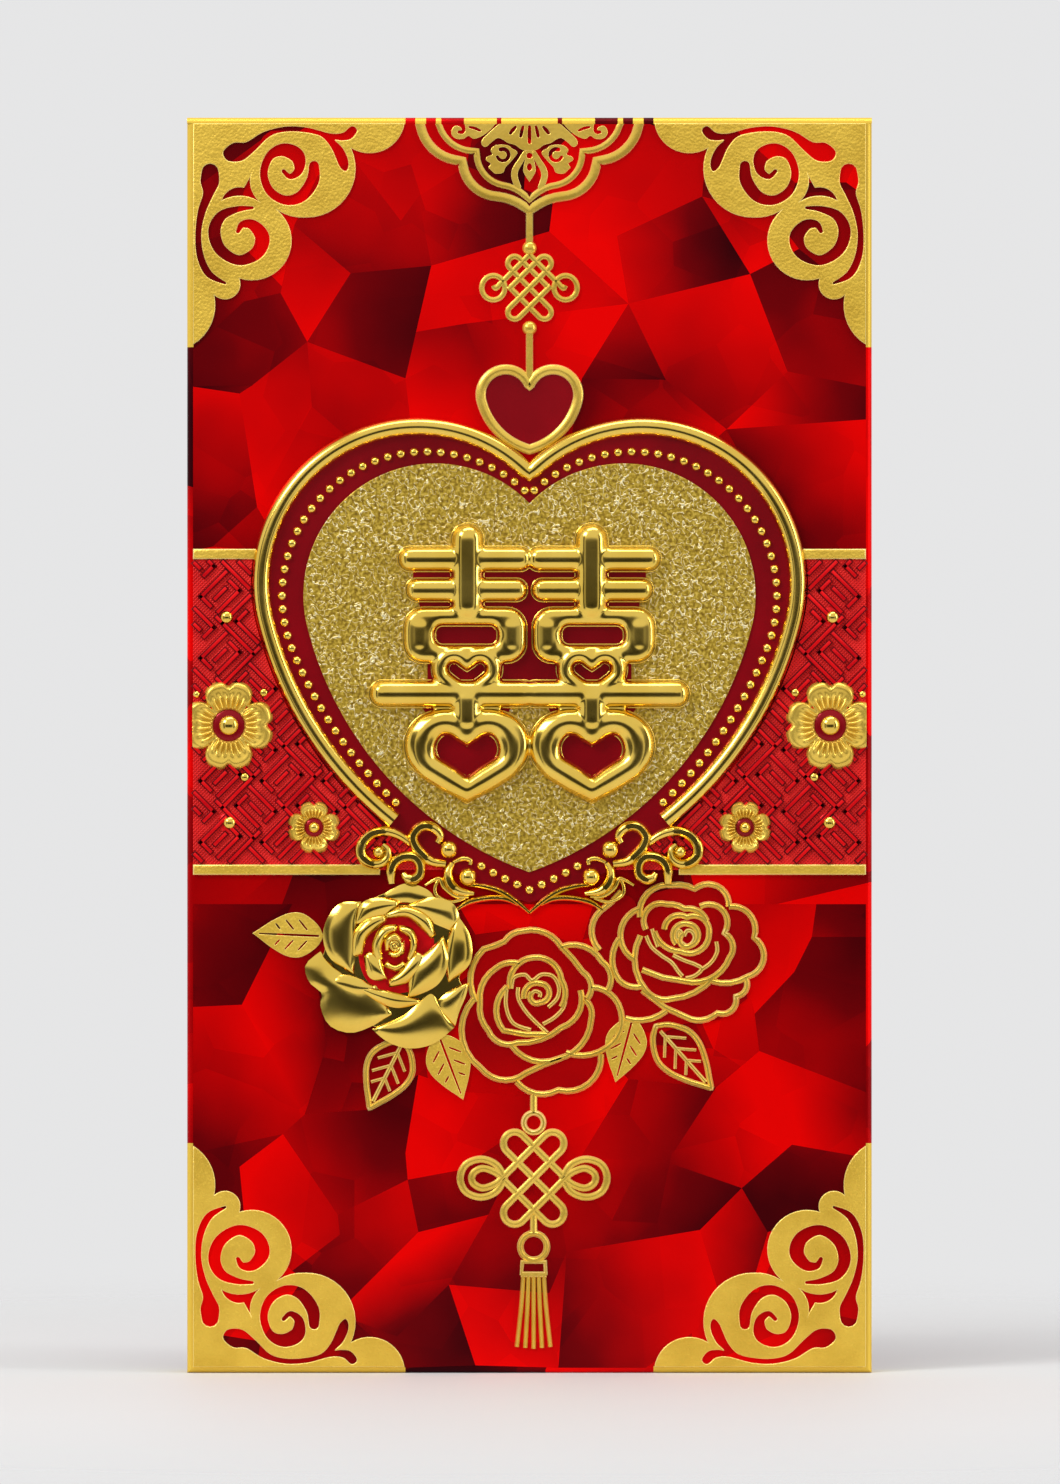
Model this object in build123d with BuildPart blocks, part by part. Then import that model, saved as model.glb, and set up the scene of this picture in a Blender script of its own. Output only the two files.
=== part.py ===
import math
import os

from build123d import *

# Large wedding gift envelope, standing on its bottom edge with the decorated face towards -Y.
# The origin is the middle of the bottom edge. The blank is one sheet of card, folded and glued,
# with raised foil ornaments on the face.

# Envelope
WIDTH = 90.0
HEIGHT = 165.0
CARD = 0.4
POCKET_DEPTH = 5.0
FOLD_RADIUS = 0.8
FOLD_LIP = 1.2
GLUE_FILM = 0.1
FOLD_GAP = 0.05
EDGE_GAP = 0.3
SIDE_TAB = 12.0
SIDE_TAB_TAPER = 6.0
BOTTOM_TAB = 22.0
BOTTOM_TAB_TAPER = 8.0
SEAM_WIDTH = 7.0
SEAM_MARGIN = 9.0
MOUTH_DROP = 1.6
FLAP_LENGTH = 34.0
FLAP_TAPER = 6.0
FLAP_CORNER = 9.0
FLAP_CLEARANCE = 0.2

# Relief heights of the ornaments, and the turn between two facets of their line work
FOIL = 0.3
LINE = 0.4
GROUND = 0.3
FIELD = 0.25
PLAQUE = 0.15
RIM_HEIGHT = 1.2
BEAD_HEIGHT = 0.5
RAIL = 0.5
BLOSSOM = 0.7
BRACKET = 0.9
FACET = 36.0

# Heart on the face: two round lobes and long side arcs down to a shallow tip
HEART_DROP = 61.2
HEART_LOBE = 21.7
HEART_SPREAD = 14.7
HEART_DEPTH = 42.0
LOBE_FALL = 14.0
RIM_WIDTH = 2.3
RIM_END_WIDTH = 19.2
RIM_END_RISE = 10.4
RIM_OVERRUN = 10.0
RIM_STEPS = 100
ROW_GAP = 0.45
ROW_NARROWING = 1.15
ROW_DROP = 1.7
ROW_TIP_LIFT = 1.7
ROW_FALL = 22.0
ROW_BEAD = 0.62
ROW_PITCH = 1.76
FIELD_GAP = 1.03
FIELD_NARROWING = 2.3
FIELD_DROP = 1.6
FIELD_TIP_LIFT = 4.0

# Plaque that carries the raised emblem: a plain panel over a pair of hearts
PLAQUE_WIDTH = 31.0
PLAQUE_TOP = 2.4
PLAQUE_FOOT_SHARE = 0.41
PLAQUE_PITCH = 8.2
PLAQUE_LOBE = 4.4
PLAQUE_SPREAD = 3.4
PLAQUE_HEART_SHARE = 0.49
PLAQUE_TIP_SHARE = 0.676

# Side bands with their rails, blossoms and studs, from above the heart's lobe line to above its tip
BAND_WIDTH = 8.6
BAND_TOP = 3.9
BAND_FOOT_RISE = 4.3
RAIL_WIDTH = 1.4
RAIL_LENGTH = 21.4
BAND_GAP = 0.2
BIG_BLOSSOM = 6.0
BIG_BLOSSOM_INSET = 5.5
BIG_BLOSSOM_SHARE = 0.46
SMALL_BLOSSOM = 3.4
SMALL_BLOSSOM_INSET = 16.7
SMALL_BLOSSOM_RISE = 5.6
STUD = 0.9
STUD_INSET = 5.4
STUD_DROP = 8.4
STUD_RISE = 6.2
SMALL_STUD = 0.5
STUD_HEIGHT = 0.5
STUD_BEVEL = 0.25
PETAL_NOTCH = 0.86
PETAL_EYE = 0.32
PETAL_BOSS = 0.22

# Scroll brackets and swag under the heart
BRACKET_LINE = 1.15
BRACKET_BEAD = 1.1
BRACKET_CLEAR = 3.2
BEAD_CLEAR = 0.2
SWAG_LINE = 0.6

# Corner scrolls
SCROLL_WIDTH = 28.5
SCROLL_DROP = 29.9
SCROLL_GROOVE = 1.3
SWASH_GROOVE = 0.9

# Crown medallion and the pendant below it
CROWN_DEPTH = 12.6
CROWN_RAIL = 1.1
CROWN_INNER_RAIL = 0.75
STEM_WIDTH = 0.7
PENDANT_BEAD = 0.9
UPPER_KNOT_DROP = 22.6
UPPER_KNOT_PITCH = 1.62
UPPER_KNOT_STRAND = 0.75
UPPER_TURN_LENGTH = 0.8
UPPER_SIDE_LOOP = 1.6
SMALL_HEART_LOBE = 3.95
SMALL_HEART_SPREAD = 3.15
SMALL_HEART_DEPTH = 8.1
SMALL_HEART_LINE = 1.35
SMALL_HEART_GAP = 0.9

# Roses and leaves below the heart
ROSE_LINE = 0.75
ROSE_GROUND = 0.15
ROSE_TIER = 0.5
OUTER_PETAL = 4.0
OUTER_PETAL_RADIUS = 4.2
OUTER_PETAL_COUNT = 5
INNER_PETAL = 2.2
INNER_PETAL_RADIUS = 1.6
INNER_PETAL_COUNT = 3
ROSE_TWIST = 25.0
PETAL_SIDES = 12
ROSE_HEART_OFFSET = 17.6
ROSE_HEART_DROP = 5.8
STEM_LAP = 0.5
LEAF_LINE = 0.8
LEAF_BELLY_SHARE = 0.45

# Lower pendant with knot and tassel
HANGER_STEM = 1.9
LOWER_RING = 1.55
LOWER_RING_BORE = 0.8
RING_GAP = 0.05
LOWER_KNOT_PITCH = 3.3
LOWER_KNOT_STRAND = 1.05
LOWER_TURN_LENGTH = 1.9
LOWER_SIDE_LOOP = 2.7
LOWER_INNER_LOOP = 1.4
TASSEL_STEM = 1.4
TASSEL_RING = 2.15
TASSEL_RING_BORE = 1.3
TASSEL_CAP_WIDTH = 3.6
TASSEL_CAP_HEIGHT = 2.3
TASSEL_STRANDS = 5
TASSEL_STRAND = 0.5
TASSEL_LENGTH = 8.5
TASSEL_SPREAD = 4.5
TASSEL_LIFT = 3.2


def drawn(points):
    """Points of a curve that is drawn for a heart with lobes of 21.7 mm, at the heart's own size."""
    unit = HEART_LOBE / 21.7
    return [(x * unit, y * unit) for x, y in points]


# Outlines of the three roses about the heart's tip, from left to right
LEFT_ROSE = drawn(
    (
        (-29.5, -8.1), (-28.9, -12.6), (-25.9, -15.3), (-23.3, -16.9), (-19.7, -16.2), (-15.2, -19.1),
        (-10.2, -16.5), (-8.7, -12.5), (-8.2, -9.0), (-7.6, -5.3), (-8.6, -2.4), (-10.8, 0.0),
        (-12.6, 0.0), (-16.1, 1.2), (-19.5, 0.6), (-22.6, 0.4), (-25.3, -1.2), (-27.4, -4.0),
    )
)
CENTRE_ROSE = drawn(
    (
        (-7.4, -11.5), (-7.9, -8.6), (-6.0, -5.7), (-3.2, -4.5), (-0.8, -3.3), (2.2, -3.6),
        (4.2, -5.4), (7.5, -5.4), (9.8, -7.5), (11.2, -9.5), (10.6, -11.5), (12.5, -15.4),
        (9.7, -19.6), (8.5, -23.5), (4.8, -24.8), (1.5, -25.5), (-1.7, -23.9), (-7.9, -20.9),
    )
)
RIGHT_ROSE = drawn(
    (
        (14.2, -0.8), (15.4, 0.7), (18.8, 1.9), (21.7, 1.6), (25.2, 1.8), (26.5, -0.3),
        (29.3, -1.4), (29.8, -4.6), (31.2, -7.2), (28.7, -9.9), (28.6, -12.6), (25.2, -15.3),
        (20.4, -15.9), (12.4, -15.5), (10.6, -11.3), (9.0, -6.4), (7.8, -3.2), (8.9, -0.9),
        (12.1, 1.1), (13.5, 0.6),
    )
)

# Places that follow from the sizes above
FACE = POCKET_DEPTH / 2 + CARD
HALF = WIDTH / 2
FLAT_TOP = HEIGHT - FOLD_RADIUS
FLAP_FACE = FACE + FLAP_CLEARANCE + CARD
TAB_FACE = FACE - CARD - GLUE_FILM

# Lower pendant, from its top downwards: stem, ring, knot, stem, ring and tassel
LOWER_SHIFT = LOWER_KNOT_PITCH / 2
LOWER_KNOT_CORNER = LOWER_KNOT_PITCH * math.sqrt(2) + LOWER_KNOT_STRAND / math.sqrt(2)
TURN_FAR = LOWER_KNOT_PITCH + LOWER_TURN_LENGTH
TURN_X = (TURN_FAR - LOWER_SHIFT) / math.sqrt(2)
TURN_RISE = (TURN_FAR + LOWER_SHIFT) / math.sqrt(2)
TURN_RADIUS = LOWER_SHIFT + LOWER_KNOT_STRAND / 2
RING_REACH = LOWER_RING + TURN_RADIUS + RING_GAP
LOWER_RING_Z = -HANGER_STEM - LOWER_RING
LOWER_KNOT_Z = LOWER_RING_Z - TURN_RISE - math.sqrt(RING_REACH**2 - TURN_X**2)
TASSEL_RING_Z = LOWER_KNOT_Z - LOWER_KNOT_CORNER - TASSEL_STEM - TASSEL_RING
CAP_TOP = TASSEL_RING_Z - TASSEL_RING
STRAND_TOP = CAP_TOP - TASSEL_CAP_HEIGHT
STRAND_FOOT = STRAND_TOP - TASSEL_LENGTH

# The ornaments keep their proportions and take the size at which they fit the face both ways
ROSE_DROP = -min(y for _, y in CENTRE_ROSE)
ORNAMENT_HALF = HEART_SPREAD + HEART_LOBE + BAND_WIDTH
ORNAMENT_HEIGHT = HEART_DROP + HEART_DEPTH + ROSE_DROP - STRAND_FOOT + TASSEL_LIFT
DESIGN = min(HALF / ORNAMENT_HALF, HEIGHT / ORNAMENT_HEIGHT)
SHEET_HALF = HALF / DESIGN
SHEET_TOP = HEIGHT / DESIGN
SHEET_FOLD = FOLD_RADIUS / DESIGN
SHEET_FLAT = SHEET_HALF - SHEET_FOLD
LOBE_Z = SHEET_TOP - HEART_DROP
HEART_TIP_Z = LOBE_Z - HEART_DEPTH
ROSE_FOOT_Z = HEART_TIP_Z - ROSE_DROP

os.makedirs("parts", exist_ok=True)


def keep(shape, name):
    """Label a finished piece and write it under its own name."""
    shape.label = name
    export_step(shape, f"parts/{name}.step")


def front(level=0.0):
    """Sketch plane of the ornaments' drawing: x to the right, y up, raised by level."""
    return Plane.XZ.offset(level)


def mount(piece, name, origin_z=0.0):
    """Lay an ornament on the face at the envelope's size, its drawing's origin at origin_z."""
    keep(piece.part.scale(DESIGN).translate((0, -FACE, DESIGN * origin_z)), name)


def heart_shape(lobe, spread, depth, lobe_z, fall=LOBE_FALL):
    """Heart of two round lobes at lobe_z, with side arcs that meet depth below them.

    Each lobe goes on for fall degrees below its middle before the side arc begins.
    """
    notch_z = lobe_z + math.sqrt(lobe**2 - spread**2)
    notch_angle = math.degrees(math.atan2(notch_z - lobe_z, -spread))
    with BuildSketch(Plane.XY) as shape:
        with BuildLine():
            crown = CenterArc((spread, lobe_z), lobe, -fall, notch_angle + fall)
            TangentArc(crown @ 0, (0, lobe_z - depth), tangent=crown % 0 * -1)
            mirror(about=Plane.YZ)
        make_face()
    return shape.sketch


def facet_run(points):
    """Short straight facets along a run of arcs, each through three of the points.

    From one facet to the next the line turns by FACET degrees at most.
    """
    facets = []
    with BuildLine(Plane.XY, mode=Mode.PRIVATE):
        for start in range(0, len(points) - 1, 2):
            arc = ThreePointArc(*points[start : start + 3], mode=Mode.PRIVATE)
            steps = math.ceil(math.degrees(arc.length / arc.radius) / FACET)
            facets += [arc @ (step / steps) for step in range(steps)]
    return facets + [points[-1]]


def band_of_line(points, width):
    """Band of constant width along a faceted run of arcs."""
    with BuildSketch(Plane.XY) as band:
        with BuildLine():
            Polyline(*facet_run(points))
        trace(line_width=width)
    return band.sketch


def closed_outline(points):
    """Face inside a faceted run of arcs that closes on its first point."""
    with BuildSketch(Plane.XY) as outline:
        with BuildLine():
            Polyline(*facet_run(points + points[:1]))
        make_face()
    return outline.sketch


# Front panel: the decorated face with its rounded folds at both sides and along the bottom
with BuildPart() as front_panel:
    with BuildSketch(Plane.XZ.offset(FACE)):
        with Locations((0, FLAT_TOP / 2)):
            Rectangle(WIDTH, FLAT_TOP)
    extrude(amount=-FOLD_LIP)
    face_edges = faces().sort_by(Axis.Y)[0].edges()
    fillet(face_edges.sort_by(Axis.Z)[:-1], FOLD_RADIUS)
    open_ends = [faces().sort_by(Axis.Y)[-1], faces().sort_by(Axis.Z)[-1]]
    offset(amount=-CARD, openings=open_ends)
keep(front_panel.part, "front_panel")


def folded_strip(start, corner, turn):
    """Section of card that runs along x from start and turns one rounded fold, up or down.

    The fold's outer corner is given, and turn is 1 or -1 for the way that it goes on along y.
    """
    side = math.copysign(1, corner[0] - start)
    middle_x = corner[0] - side * CARD / 2
    middle_y = corner[1] + turn * CARD / 2
    bend = FOLD_RADIUS - CARD / 2
    with BuildSketch(Plane.XY) as section:
        with BuildLine():
            run = Line((start, middle_y), (middle_x - side * bend, middle_y))
            TangentArc(run @ 1, (middle_x, middle_y + turn * bend), tangent=run % 1)
        trace(line_width=CARD)
    return section.sketch


# Bottom spine: the narrow strip that the envelope stands on, with its rear fold
BOTTOM_FOLD_Y = FACE + GLUE_FILM + CARD
with BuildPart() as bottom_spine:
    with BuildSketch(Plane.YZ):
        add(folded_strip(FOLD_LIP - FACE, (BOTTOM_FOLD_Y, 0), turn=1))
    extrude(amount=HALF, both=True)
keep(bottom_spine.part, "bottom_spine")

SPINE_FOOT = CARD + FOLD_GAP
SPINE_HEAD = HEIGHT - CARD - FOLD_GAP
SPINE_HEIGHT = SPINE_HEAD - SPINE_FOOT

# Right spine: plain strip between the front panel's fold and the back panel's fold
with BuildPart() as right_spine:
    with BuildSketch(Plane.XY.offset(SPINE_FOOT)):
        with Locations((HALF - CARD / 2, (FOLD_LIP - FOLD_RADIUS - FOLD_GAP) / 2)):
            Rectangle(CARD, 2 * FACE - FOLD_LIP - FOLD_RADIUS - FOLD_GAP)
    extrude(amount=SPINE_HEIGHT)
keep(right_spine.part, "right_spine")

# Left spine: plain strip that ends where the side glue tab folds inwards
LEFT_SPINE_END = TAB_FACE - FOLD_RADIUS - FOLD_GAP
with BuildPart() as left_spine:
    with BuildSketch(Plane.XY.offset(SPINE_FOOT)):
        with Locations((CARD / 2 - HALF, (FOLD_LIP - FACE + LEFT_SPINE_END) / 2)):
            Rectangle(CARD, LEFT_SPINE_END - FOLD_LIP + FACE)
    extrude(amount=SPINE_HEIGHT)
keep(left_spine.part, "left_spine")

# Back panel: hangs on the right rear fold and lies over the side glue tab
MOUTH_Z = HEIGHT - MOUTH_DROP
BACK_FOOT = FOLD_RADIUS + FOLD_GAP
with BuildPart() as back_panel:
    with BuildSketch(Plane.XY.offset(BACK_FOOT)):
        add(folded_strip(EDGE_GAP - HALF, (HALF, FACE), turn=-1))
    extrude(amount=MOUTH_Z - BACK_FOOT)
keep(back_panel.part, "back_panel")

# Side glue tab: folded in from the left spine, with tapered ends, inside the back panel
with BuildPart() as side_glue_tab:
    with BuildSketch(Plane.XY.offset(BACK_FOOT)):
        add(folded_strip(SIDE_TAB - HALF, (-HALF, TAB_FACE), turn=-1))
    extrude(amount=MOUTH_Z - BACK_FOOT)
    free_corners = edges().filter_by(Axis.Y).group_by(Axis.X)[-1]
    chamfer(free_corners, length=SIDE_TAB - 2 * FOLD_RADIUS, length2=SIDE_TAB_TAPER)
keep(side_glue_tab.part, "side_glue_tab")

# Film of glue between the side tab and the back panel
with BuildPart() as side_seam_glue:
    with BuildSketch(Plane.XZ.offset(-TAB_FACE)):
        with Locations((SIDE_TAB / 2 - HALF, (BACK_FOOT + MOUTH_Z) / 2)):
            Rectangle(SEAM_WIDTH, MOUTH_Z - BACK_FOOT - 2 * SEAM_MARGIN)
    extrude(amount=-GLUE_FILM)
keep(side_seam_glue.part, "side_seam_glue")

# Bottom glue tab: folded up over the outside of the back panel
with BuildPart() as bottom_glue_tab:
    with BuildSketch(Plane.XZ.offset(-FACE - GLUE_FILM)):
        with BuildLine():
            Polyline(
                (-HALF, FOLD_RADIUS + FOLD_GAP),
                (HALF, FOLD_RADIUS + FOLD_GAP),
                (HALF - BOTTOM_TAB_TAPER, BOTTOM_TAB),
                (BOTTOM_TAB_TAPER - HALF, BOTTOM_TAB),
                close=True,
            )
        make_face()
    extrude(amount=-CARD)
keep(bottom_glue_tab.part, "bottom_glue_tab")

# Film of glue between the bottom tab and the back panel
with BuildPart() as bottom_seam_glue:
    with BuildSketch(Plane.XZ.offset(-FACE)):
        with Locations((0, BOTTOM_TAB / 2)):
            Rectangle(WIDTH - 2 * SEAM_MARGIN, SEAM_WIDTH)
    extrude(amount=-GLUE_FILM)
keep(bottom_seam_glue.part, "bottom_seam_glue")

# Lid strip: closes the top between the two long creases
LID_START = FOLD_RADIUS - FACE + FOLD_GAP
LID_END = FLAP_FACE - FOLD_RADIUS - FOLD_GAP
with BuildPart() as lid_strip:
    with BuildSketch(Plane.XY.offset(HEIGHT - CARD)):
        with Locations((0, (LID_START + LID_END) / 2)):
            Rectangle(WIDTH, LID_END - LID_START)
    extrude(amount=CARD)
keep(lid_strip.part, "lid_strip")

# Closing flap: hangs over the outside of the back, tapered with round lower corners
with BuildPart() as closing_flap:
    with BuildSketch(Plane.XZ.offset(-FLAP_FACE)):
        with BuildLine():
            Polyline(
                (-HALF, FLAT_TOP - FOLD_GAP),
                (HALF, FLAT_TOP - FOLD_GAP),
                (HALF - FLAP_TAPER, HEIGHT - FLAP_LENGTH),
                (FLAP_TAPER - HALF, HEIGHT - FLAP_LENGTH),
                close=True,
            )
        make_face()
        fillet(vertices().group_by(Axis.Y)[0], FLAP_CORNER)
    extrude(amount=CARD)
keep(closing_flap.part, "closing_flap")

# Creases: quarter-round bends of card that join the lid to the front panel and to the flap
for name, centre_y, quadrant in (
    ("lid_crease", FOLD_RADIUS - FACE, 90),
    ("flap_crease", FLAP_FACE - FOLD_RADIUS, 0),
):
    with BuildPart() as crease:
        with BuildSketch(Plane.YZ):
            with BuildLine():
                CenterArc((centre_y, FLAT_TOP), FOLD_RADIUS - CARD / 2, quadrant, 90)
            trace(line_width=CARD)
        extrude(amount=HALF, both=True)
    keep(crease.part, name)


def corner_outline():
    """Corner ornament in its own corner: scalloped lobes from one edge round to the other."""
    lobes = drawn(
        (
            (24.6, 4.45), (21.4, 3.95), (20.4, 10.3), (15.6, 12.7), (13.9, 12.7), (12.0, 12.0),
            (13.0, 18.2), (6.8, 20.8), (6.0, 23.2), (3.6, 23.3), (3.1, 27.4),
        )
    )
    start = (SCROLL_WIDTH, SHEET_FOLD)
    end = (SHEET_FOLD, SCROLL_DROP)
    with BuildSketch(Plane.XY) as outline:
        with BuildLine():
            Polyline(*facet_run([start] + lobes + [end]), (SHEET_FOLD, SHEET_FOLD), close=True)
        make_face()
    return outline.sketch


def corner_cutouts():
    """Openwork of the corner ornament: two volutes, two swashes with bulbs and a leaf."""
    upper_volute = drawn(
        (
            (16.7, 6.4), (16.0, 9.4), (13.7, 11.0), (11.0, 9.9), (10.1, 7.2),
            (10.9, 4.8), (13.0, 4.3), (14.9, 5.9), (13.2, 7.8),
        )
    )
    lower_volute = drawn(
        (
            (8.5, 12.2), (5.5, 12.5), (3.8, 15.1), (4.6, 17.6), (7.2, 18.7),
            (9.6, 16.6), (8.4, 14.1), (7.0, 14.3), (7.0, 15.7),
        )
    )
    top_swash = drawn(
        (
            (6.3, 4.7), (9.6, 3.7), (11.9, 2.3), (16.3, 1.9), (19.6, 3.0), (21.6, 2.9), (22.6, 1.9),
        )
    )
    side_swash = drawn(
        (
            (3.0, 7.9), (2.6, 11.2), (1.9, 14.6), (2.0, 18.3), (3.4, 20.9), (4.3, 21.8), (5.3, 22.0),
        )
    )
    with BuildSketch(Plane.XY) as openwork:
        add(band_of_line(upper_volute, SCROLL_GROOVE))
        add(band_of_line(lower_volute, SCROLL_GROOVE))
        add(band_of_line(top_swash, SWASH_GROOVE))
        add(band_of_line(side_swash, SWASH_GROOVE))
        with Locations(top_swash[0], side_swash[0]):
            RegularPolygon(SCROLL_GROOVE, 8)
        with BuildLine():
            Polyline(*drawn(((8.8, 6.4), (9.2, 10.7), (4.8, 10.6), (7.6, 9.2))), close=True)
        make_face()
    return openwork.sketch


# Corner scrolls: one design, mirrored into the four corners of the face
with BuildPart() as corner_scrolls:
    with BuildSketch(front()):
        with Locations((-SHEET_HALF, 0)):
            add(corner_outline())
            add(corner_cutouts(), mode=Mode.SUBTRACT)
    extrude(amount=FOIL)
    mirror(about=Plane.YZ)
    mirror(about=Plane.XY.offset(SHEET_TOP / 2))
mount(corner_scrolls, "corner_scrolls")


def crown_rails():
    """Right half of the medallion under the top edge: two ogee rails, each down to a point."""
    outer_rail = drawn(((14.3, 0), (12.0, -4.4), (8.7, -5.6), (7.4, -8.6), (4.3, -10.1), (2.0, -10.7)))
    outer_rail.append((0, CROWN_RAIL / 2 - CROWN_DEPTH))
    inner_rail = drawn(
        ((12.2, 0), (10.0, -3.6), (6.9, -4.4), (6.0, -7.2), (3.6, -8.5), (1.7, -9.1), (0, -10.3))
    )
    with BuildSketch(Plane.XY) as rails:
        add(band_of_line(outer_rail, CROWN_RAIL))
        add(band_of_line(inner_rail, CROWN_INNER_RAIL))
        with Locations((0, -SHEET_FOLD)):
            Rectangle(2 * SHEET_HALF, SHEET_TOP, align=(Align.CENTER, Align.MIN), mode=Mode.SUBTRACT)
        split(bisect_by=Plane.YZ)
        mirror(about=Plane.YZ)
    return rails.sketch


# Crown medallion: an outer and an inner rail under the top edge
with BuildPart() as crown_medallion:
    with BuildSketch(front()):
        with Locations((0, SHEET_TOP)):
            add(crown_rails())
    extrude(amount=FOIL)
mount(crown_medallion, "crown_medallion")

# Stem, bead and knot hang below the crown in one line
CROWN_TIP = SHEET_TOP - CROWN_DEPTH
UPPER_KNOT_Z = SHEET_TOP - UPPER_KNOT_DROP
UPPER_KNOT_HALF = 1.5 * UPPER_KNOT_PITCH * math.sqrt(2) + UPPER_KNOT_STRAND
SMALL_HEART_NOTCH = math.sqrt(SMALL_HEART_LOBE**2 - SMALL_HEART_SPREAD**2)
HEART_NOTCH_Z = LOBE_Z + math.sqrt(HEART_LOBE**2 - HEART_SPREAD**2)
SMALL_LOBE_Z = HEART_NOTCH_Z + SMALL_HEART_GAP + SMALL_HEART_DEPTH
UPPER_BEAD_Z = UPPER_KNOT_Z + UPPER_KNOT_HALF + PENDANT_BEAD
HOOK_BEAD_Z = UPPER_KNOT_Z - UPPER_KNOT_HALF - PENDANT_BEAD
small_heart_outline = heart_shape(SMALL_HEART_LOBE, SMALL_HEART_SPREAD, SMALL_HEART_DEPTH, SMALL_LOBE_Z)
with BuildPart() as pendant_stems:
    for head, foot in (
        (CROWN_TIP, UPPER_BEAD_Z + PENDANT_BEAD),
        (HOOK_BEAD_Z - PENDANT_BEAD, SMALL_LOBE_Z + SMALL_HEART_NOTCH),
    ):
        with BuildSketch(front()):
            with Locations((0, (head + foot) / 2)):
                Rectangle(STEM_WIDTH, head - foot)
            add(small_heart_outline, mode=Mode.SUBTRACT)
        extrude(amount=LINE)
mount(pendant_stems, "pendant_stems")


def studs(places, radius, height, level):
    """Small faceted studs with bevelled tops, standing at the places on the face."""
    with BuildPart() as cluster:
        with BuildSketch(front(level)):
            with Locations(*places):
                RegularPolygon(radius, 8)
        extrude(amount=height)
        chamfer(faces().group_by(Axis.Y)[0].edges(), STUD_BEVEL)
    return cluster


mount(studs([(0, UPPER_BEAD_Z), (0, HOOK_BEAD_Z)], PENDANT_BEAD, BEAD_HEIGHT, 0), "pendant_beads")

DIAGONAL = Plane(origin=(0, 0, 0), x_dir=(1, 1, 0), z_dir=(1, -1, 0))


def knot_turn(half, reach, pitch, width, shift):
    """Round turn of cord on the right side of a knot, joining two strands about shift."""
    far = half + reach
    low = shift - pitch / 2
    high = shift + pitch / 2
    with BuildSketch(Plane.XY) as turn:
        with BuildLine():
            Line((half, low), (far, low))
            Line((half, high), (far, high))
        trace(line_width=width)
        add(band_of_line(((far, low), (far + pitch / 2, shift), (far, high)), width))
    return turn.sketch


def knot_shape(strands, pitch, width, reach, shift):
    """Woven diamond of strands each way at pitch, with a round turn standing out of each side."""
    half = (strands - 1) / 2 * pitch
    right_turn = knot_turn(half, reach, pitch, width, shift)
    upper_turn = mirror(right_turn, about=DIAGONAL, mode=Mode.PRIVATE)
    with BuildSketch(Plane.XY) as knot:
        with GridLocations(pitch, pitch, 1, strands):
            Rectangle(2 * half + width, width)
        with GridLocations(pitch, pitch, strands, 1):
            Rectangle(width, 2 * half + width)
        for turn in (right_turn, upper_turn):
            add(turn)
            add(turn, rotation=180)
    return knot.sketch.rotate(Axis.Z, 45)


def ring_shape(radius, width):
    """Flat ring about the origin, radius to the middle of its band."""
    sides = round(360 / FACET)
    with BuildSketch(Plane.XY) as ring:
        RegularPolygon(radius + width / 2, sides)
        RegularPolygon(radius - width / 2, sides, mode=Mode.SUBTRACT)
    return ring.sketch


# Upper knot: four strands each way, with a round loop at either side
UPPER_SIDE_REACH = UPPER_KNOT_HALF - UPPER_KNOT_STRAND + UPPER_SIDE_LOOP
with BuildPart() as upper_knot:
    with BuildSketch(front()):
        with Locations((0, UPPER_KNOT_Z)):
            add(knot_shape(4, UPPER_KNOT_PITCH, UPPER_KNOT_STRAND, UPPER_TURN_LENGTH, 0))
        with Locations((-UPPER_SIDE_REACH, UPPER_KNOT_Z), (UPPER_SIDE_REACH, UPPER_KNOT_Z)):
            add(ring_shape(UPPER_SIDE_LOOP, UPPER_KNOT_STRAND))
    extrude(amount=LINE)
mount(upper_knot, "upper_knot")

# Small heart: a plain line heart at the end of the upper pendant
with BuildPart() as small_heart:
    with BuildSketch(front()):
        add(small_heart_outline)
        offset(amount=-SMALL_HEART_LINE, mode=Mode.SUBTRACT)
    extrude(amount=LINE)
mount(small_heart, "small_heart")


def bracket_shape():
    """Scroll bracket at the lower left of the heart, as bands of line about its tip."""
    outer_volute = (
        (-15.9, 7.4), (-17.4, 9.1), (-19.6, 9.2), (-22.2, 6.8), (-20.0, 4.6),
        (-18.3, 6.0), (-19.4, 7.2),
    )
    top_loop = (
        (-10.9, 5.3), (-13.9, 5.2), (-15.8, 7.4), (-15.1, 9.8), (-13.0, 10.4),
        (-11.3, 8.8), (-13.0, 7.6),
    )
    low_curl = ((-14.0, 5.0), (-16.3, 6.6), (-18.2, 4.6), (-16.2, 2.7), (-15.1, 4.2))
    crescent = ((-9.1, 5.1), (-10.2, 3.5), (-8.7, 1.4))
    with BuildSketch(Plane.XY) as bracket:
        for path in (outer_volute, top_loop, low_curl, crescent):
            add(band_of_line(drawn(path), BRACKET_LINE))
    return bracket.sketch


# Scroll brackets with their beads, on the heart ground and the side bands
with BuildPart() as left_bracket:
    with BuildSketch(front(GROUND)):
        with Locations((0, HEART_TIP_Z)):
            add(bracket_shape())
    extrude(amount=BRACKET)
mount(left_bracket, "scroll_bracket_left")
with BuildPart() as right_bracket:
    mirror(left_bracket.part, about=Plane.YZ)
mount(right_bracket, "scroll_bracket_right")

bead_places = drawn(((10.4, 6.8), (7.9, 3.5)))
BRACKET_BEADS = [(side * x, HEART_TIP_Z + z) for side in (-1, 1) for x, z in bead_places]
mount(studs(BRACKET_BEADS, BRACKET_BEAD, BRACKET, GROUND), "bracket_beads")

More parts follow.
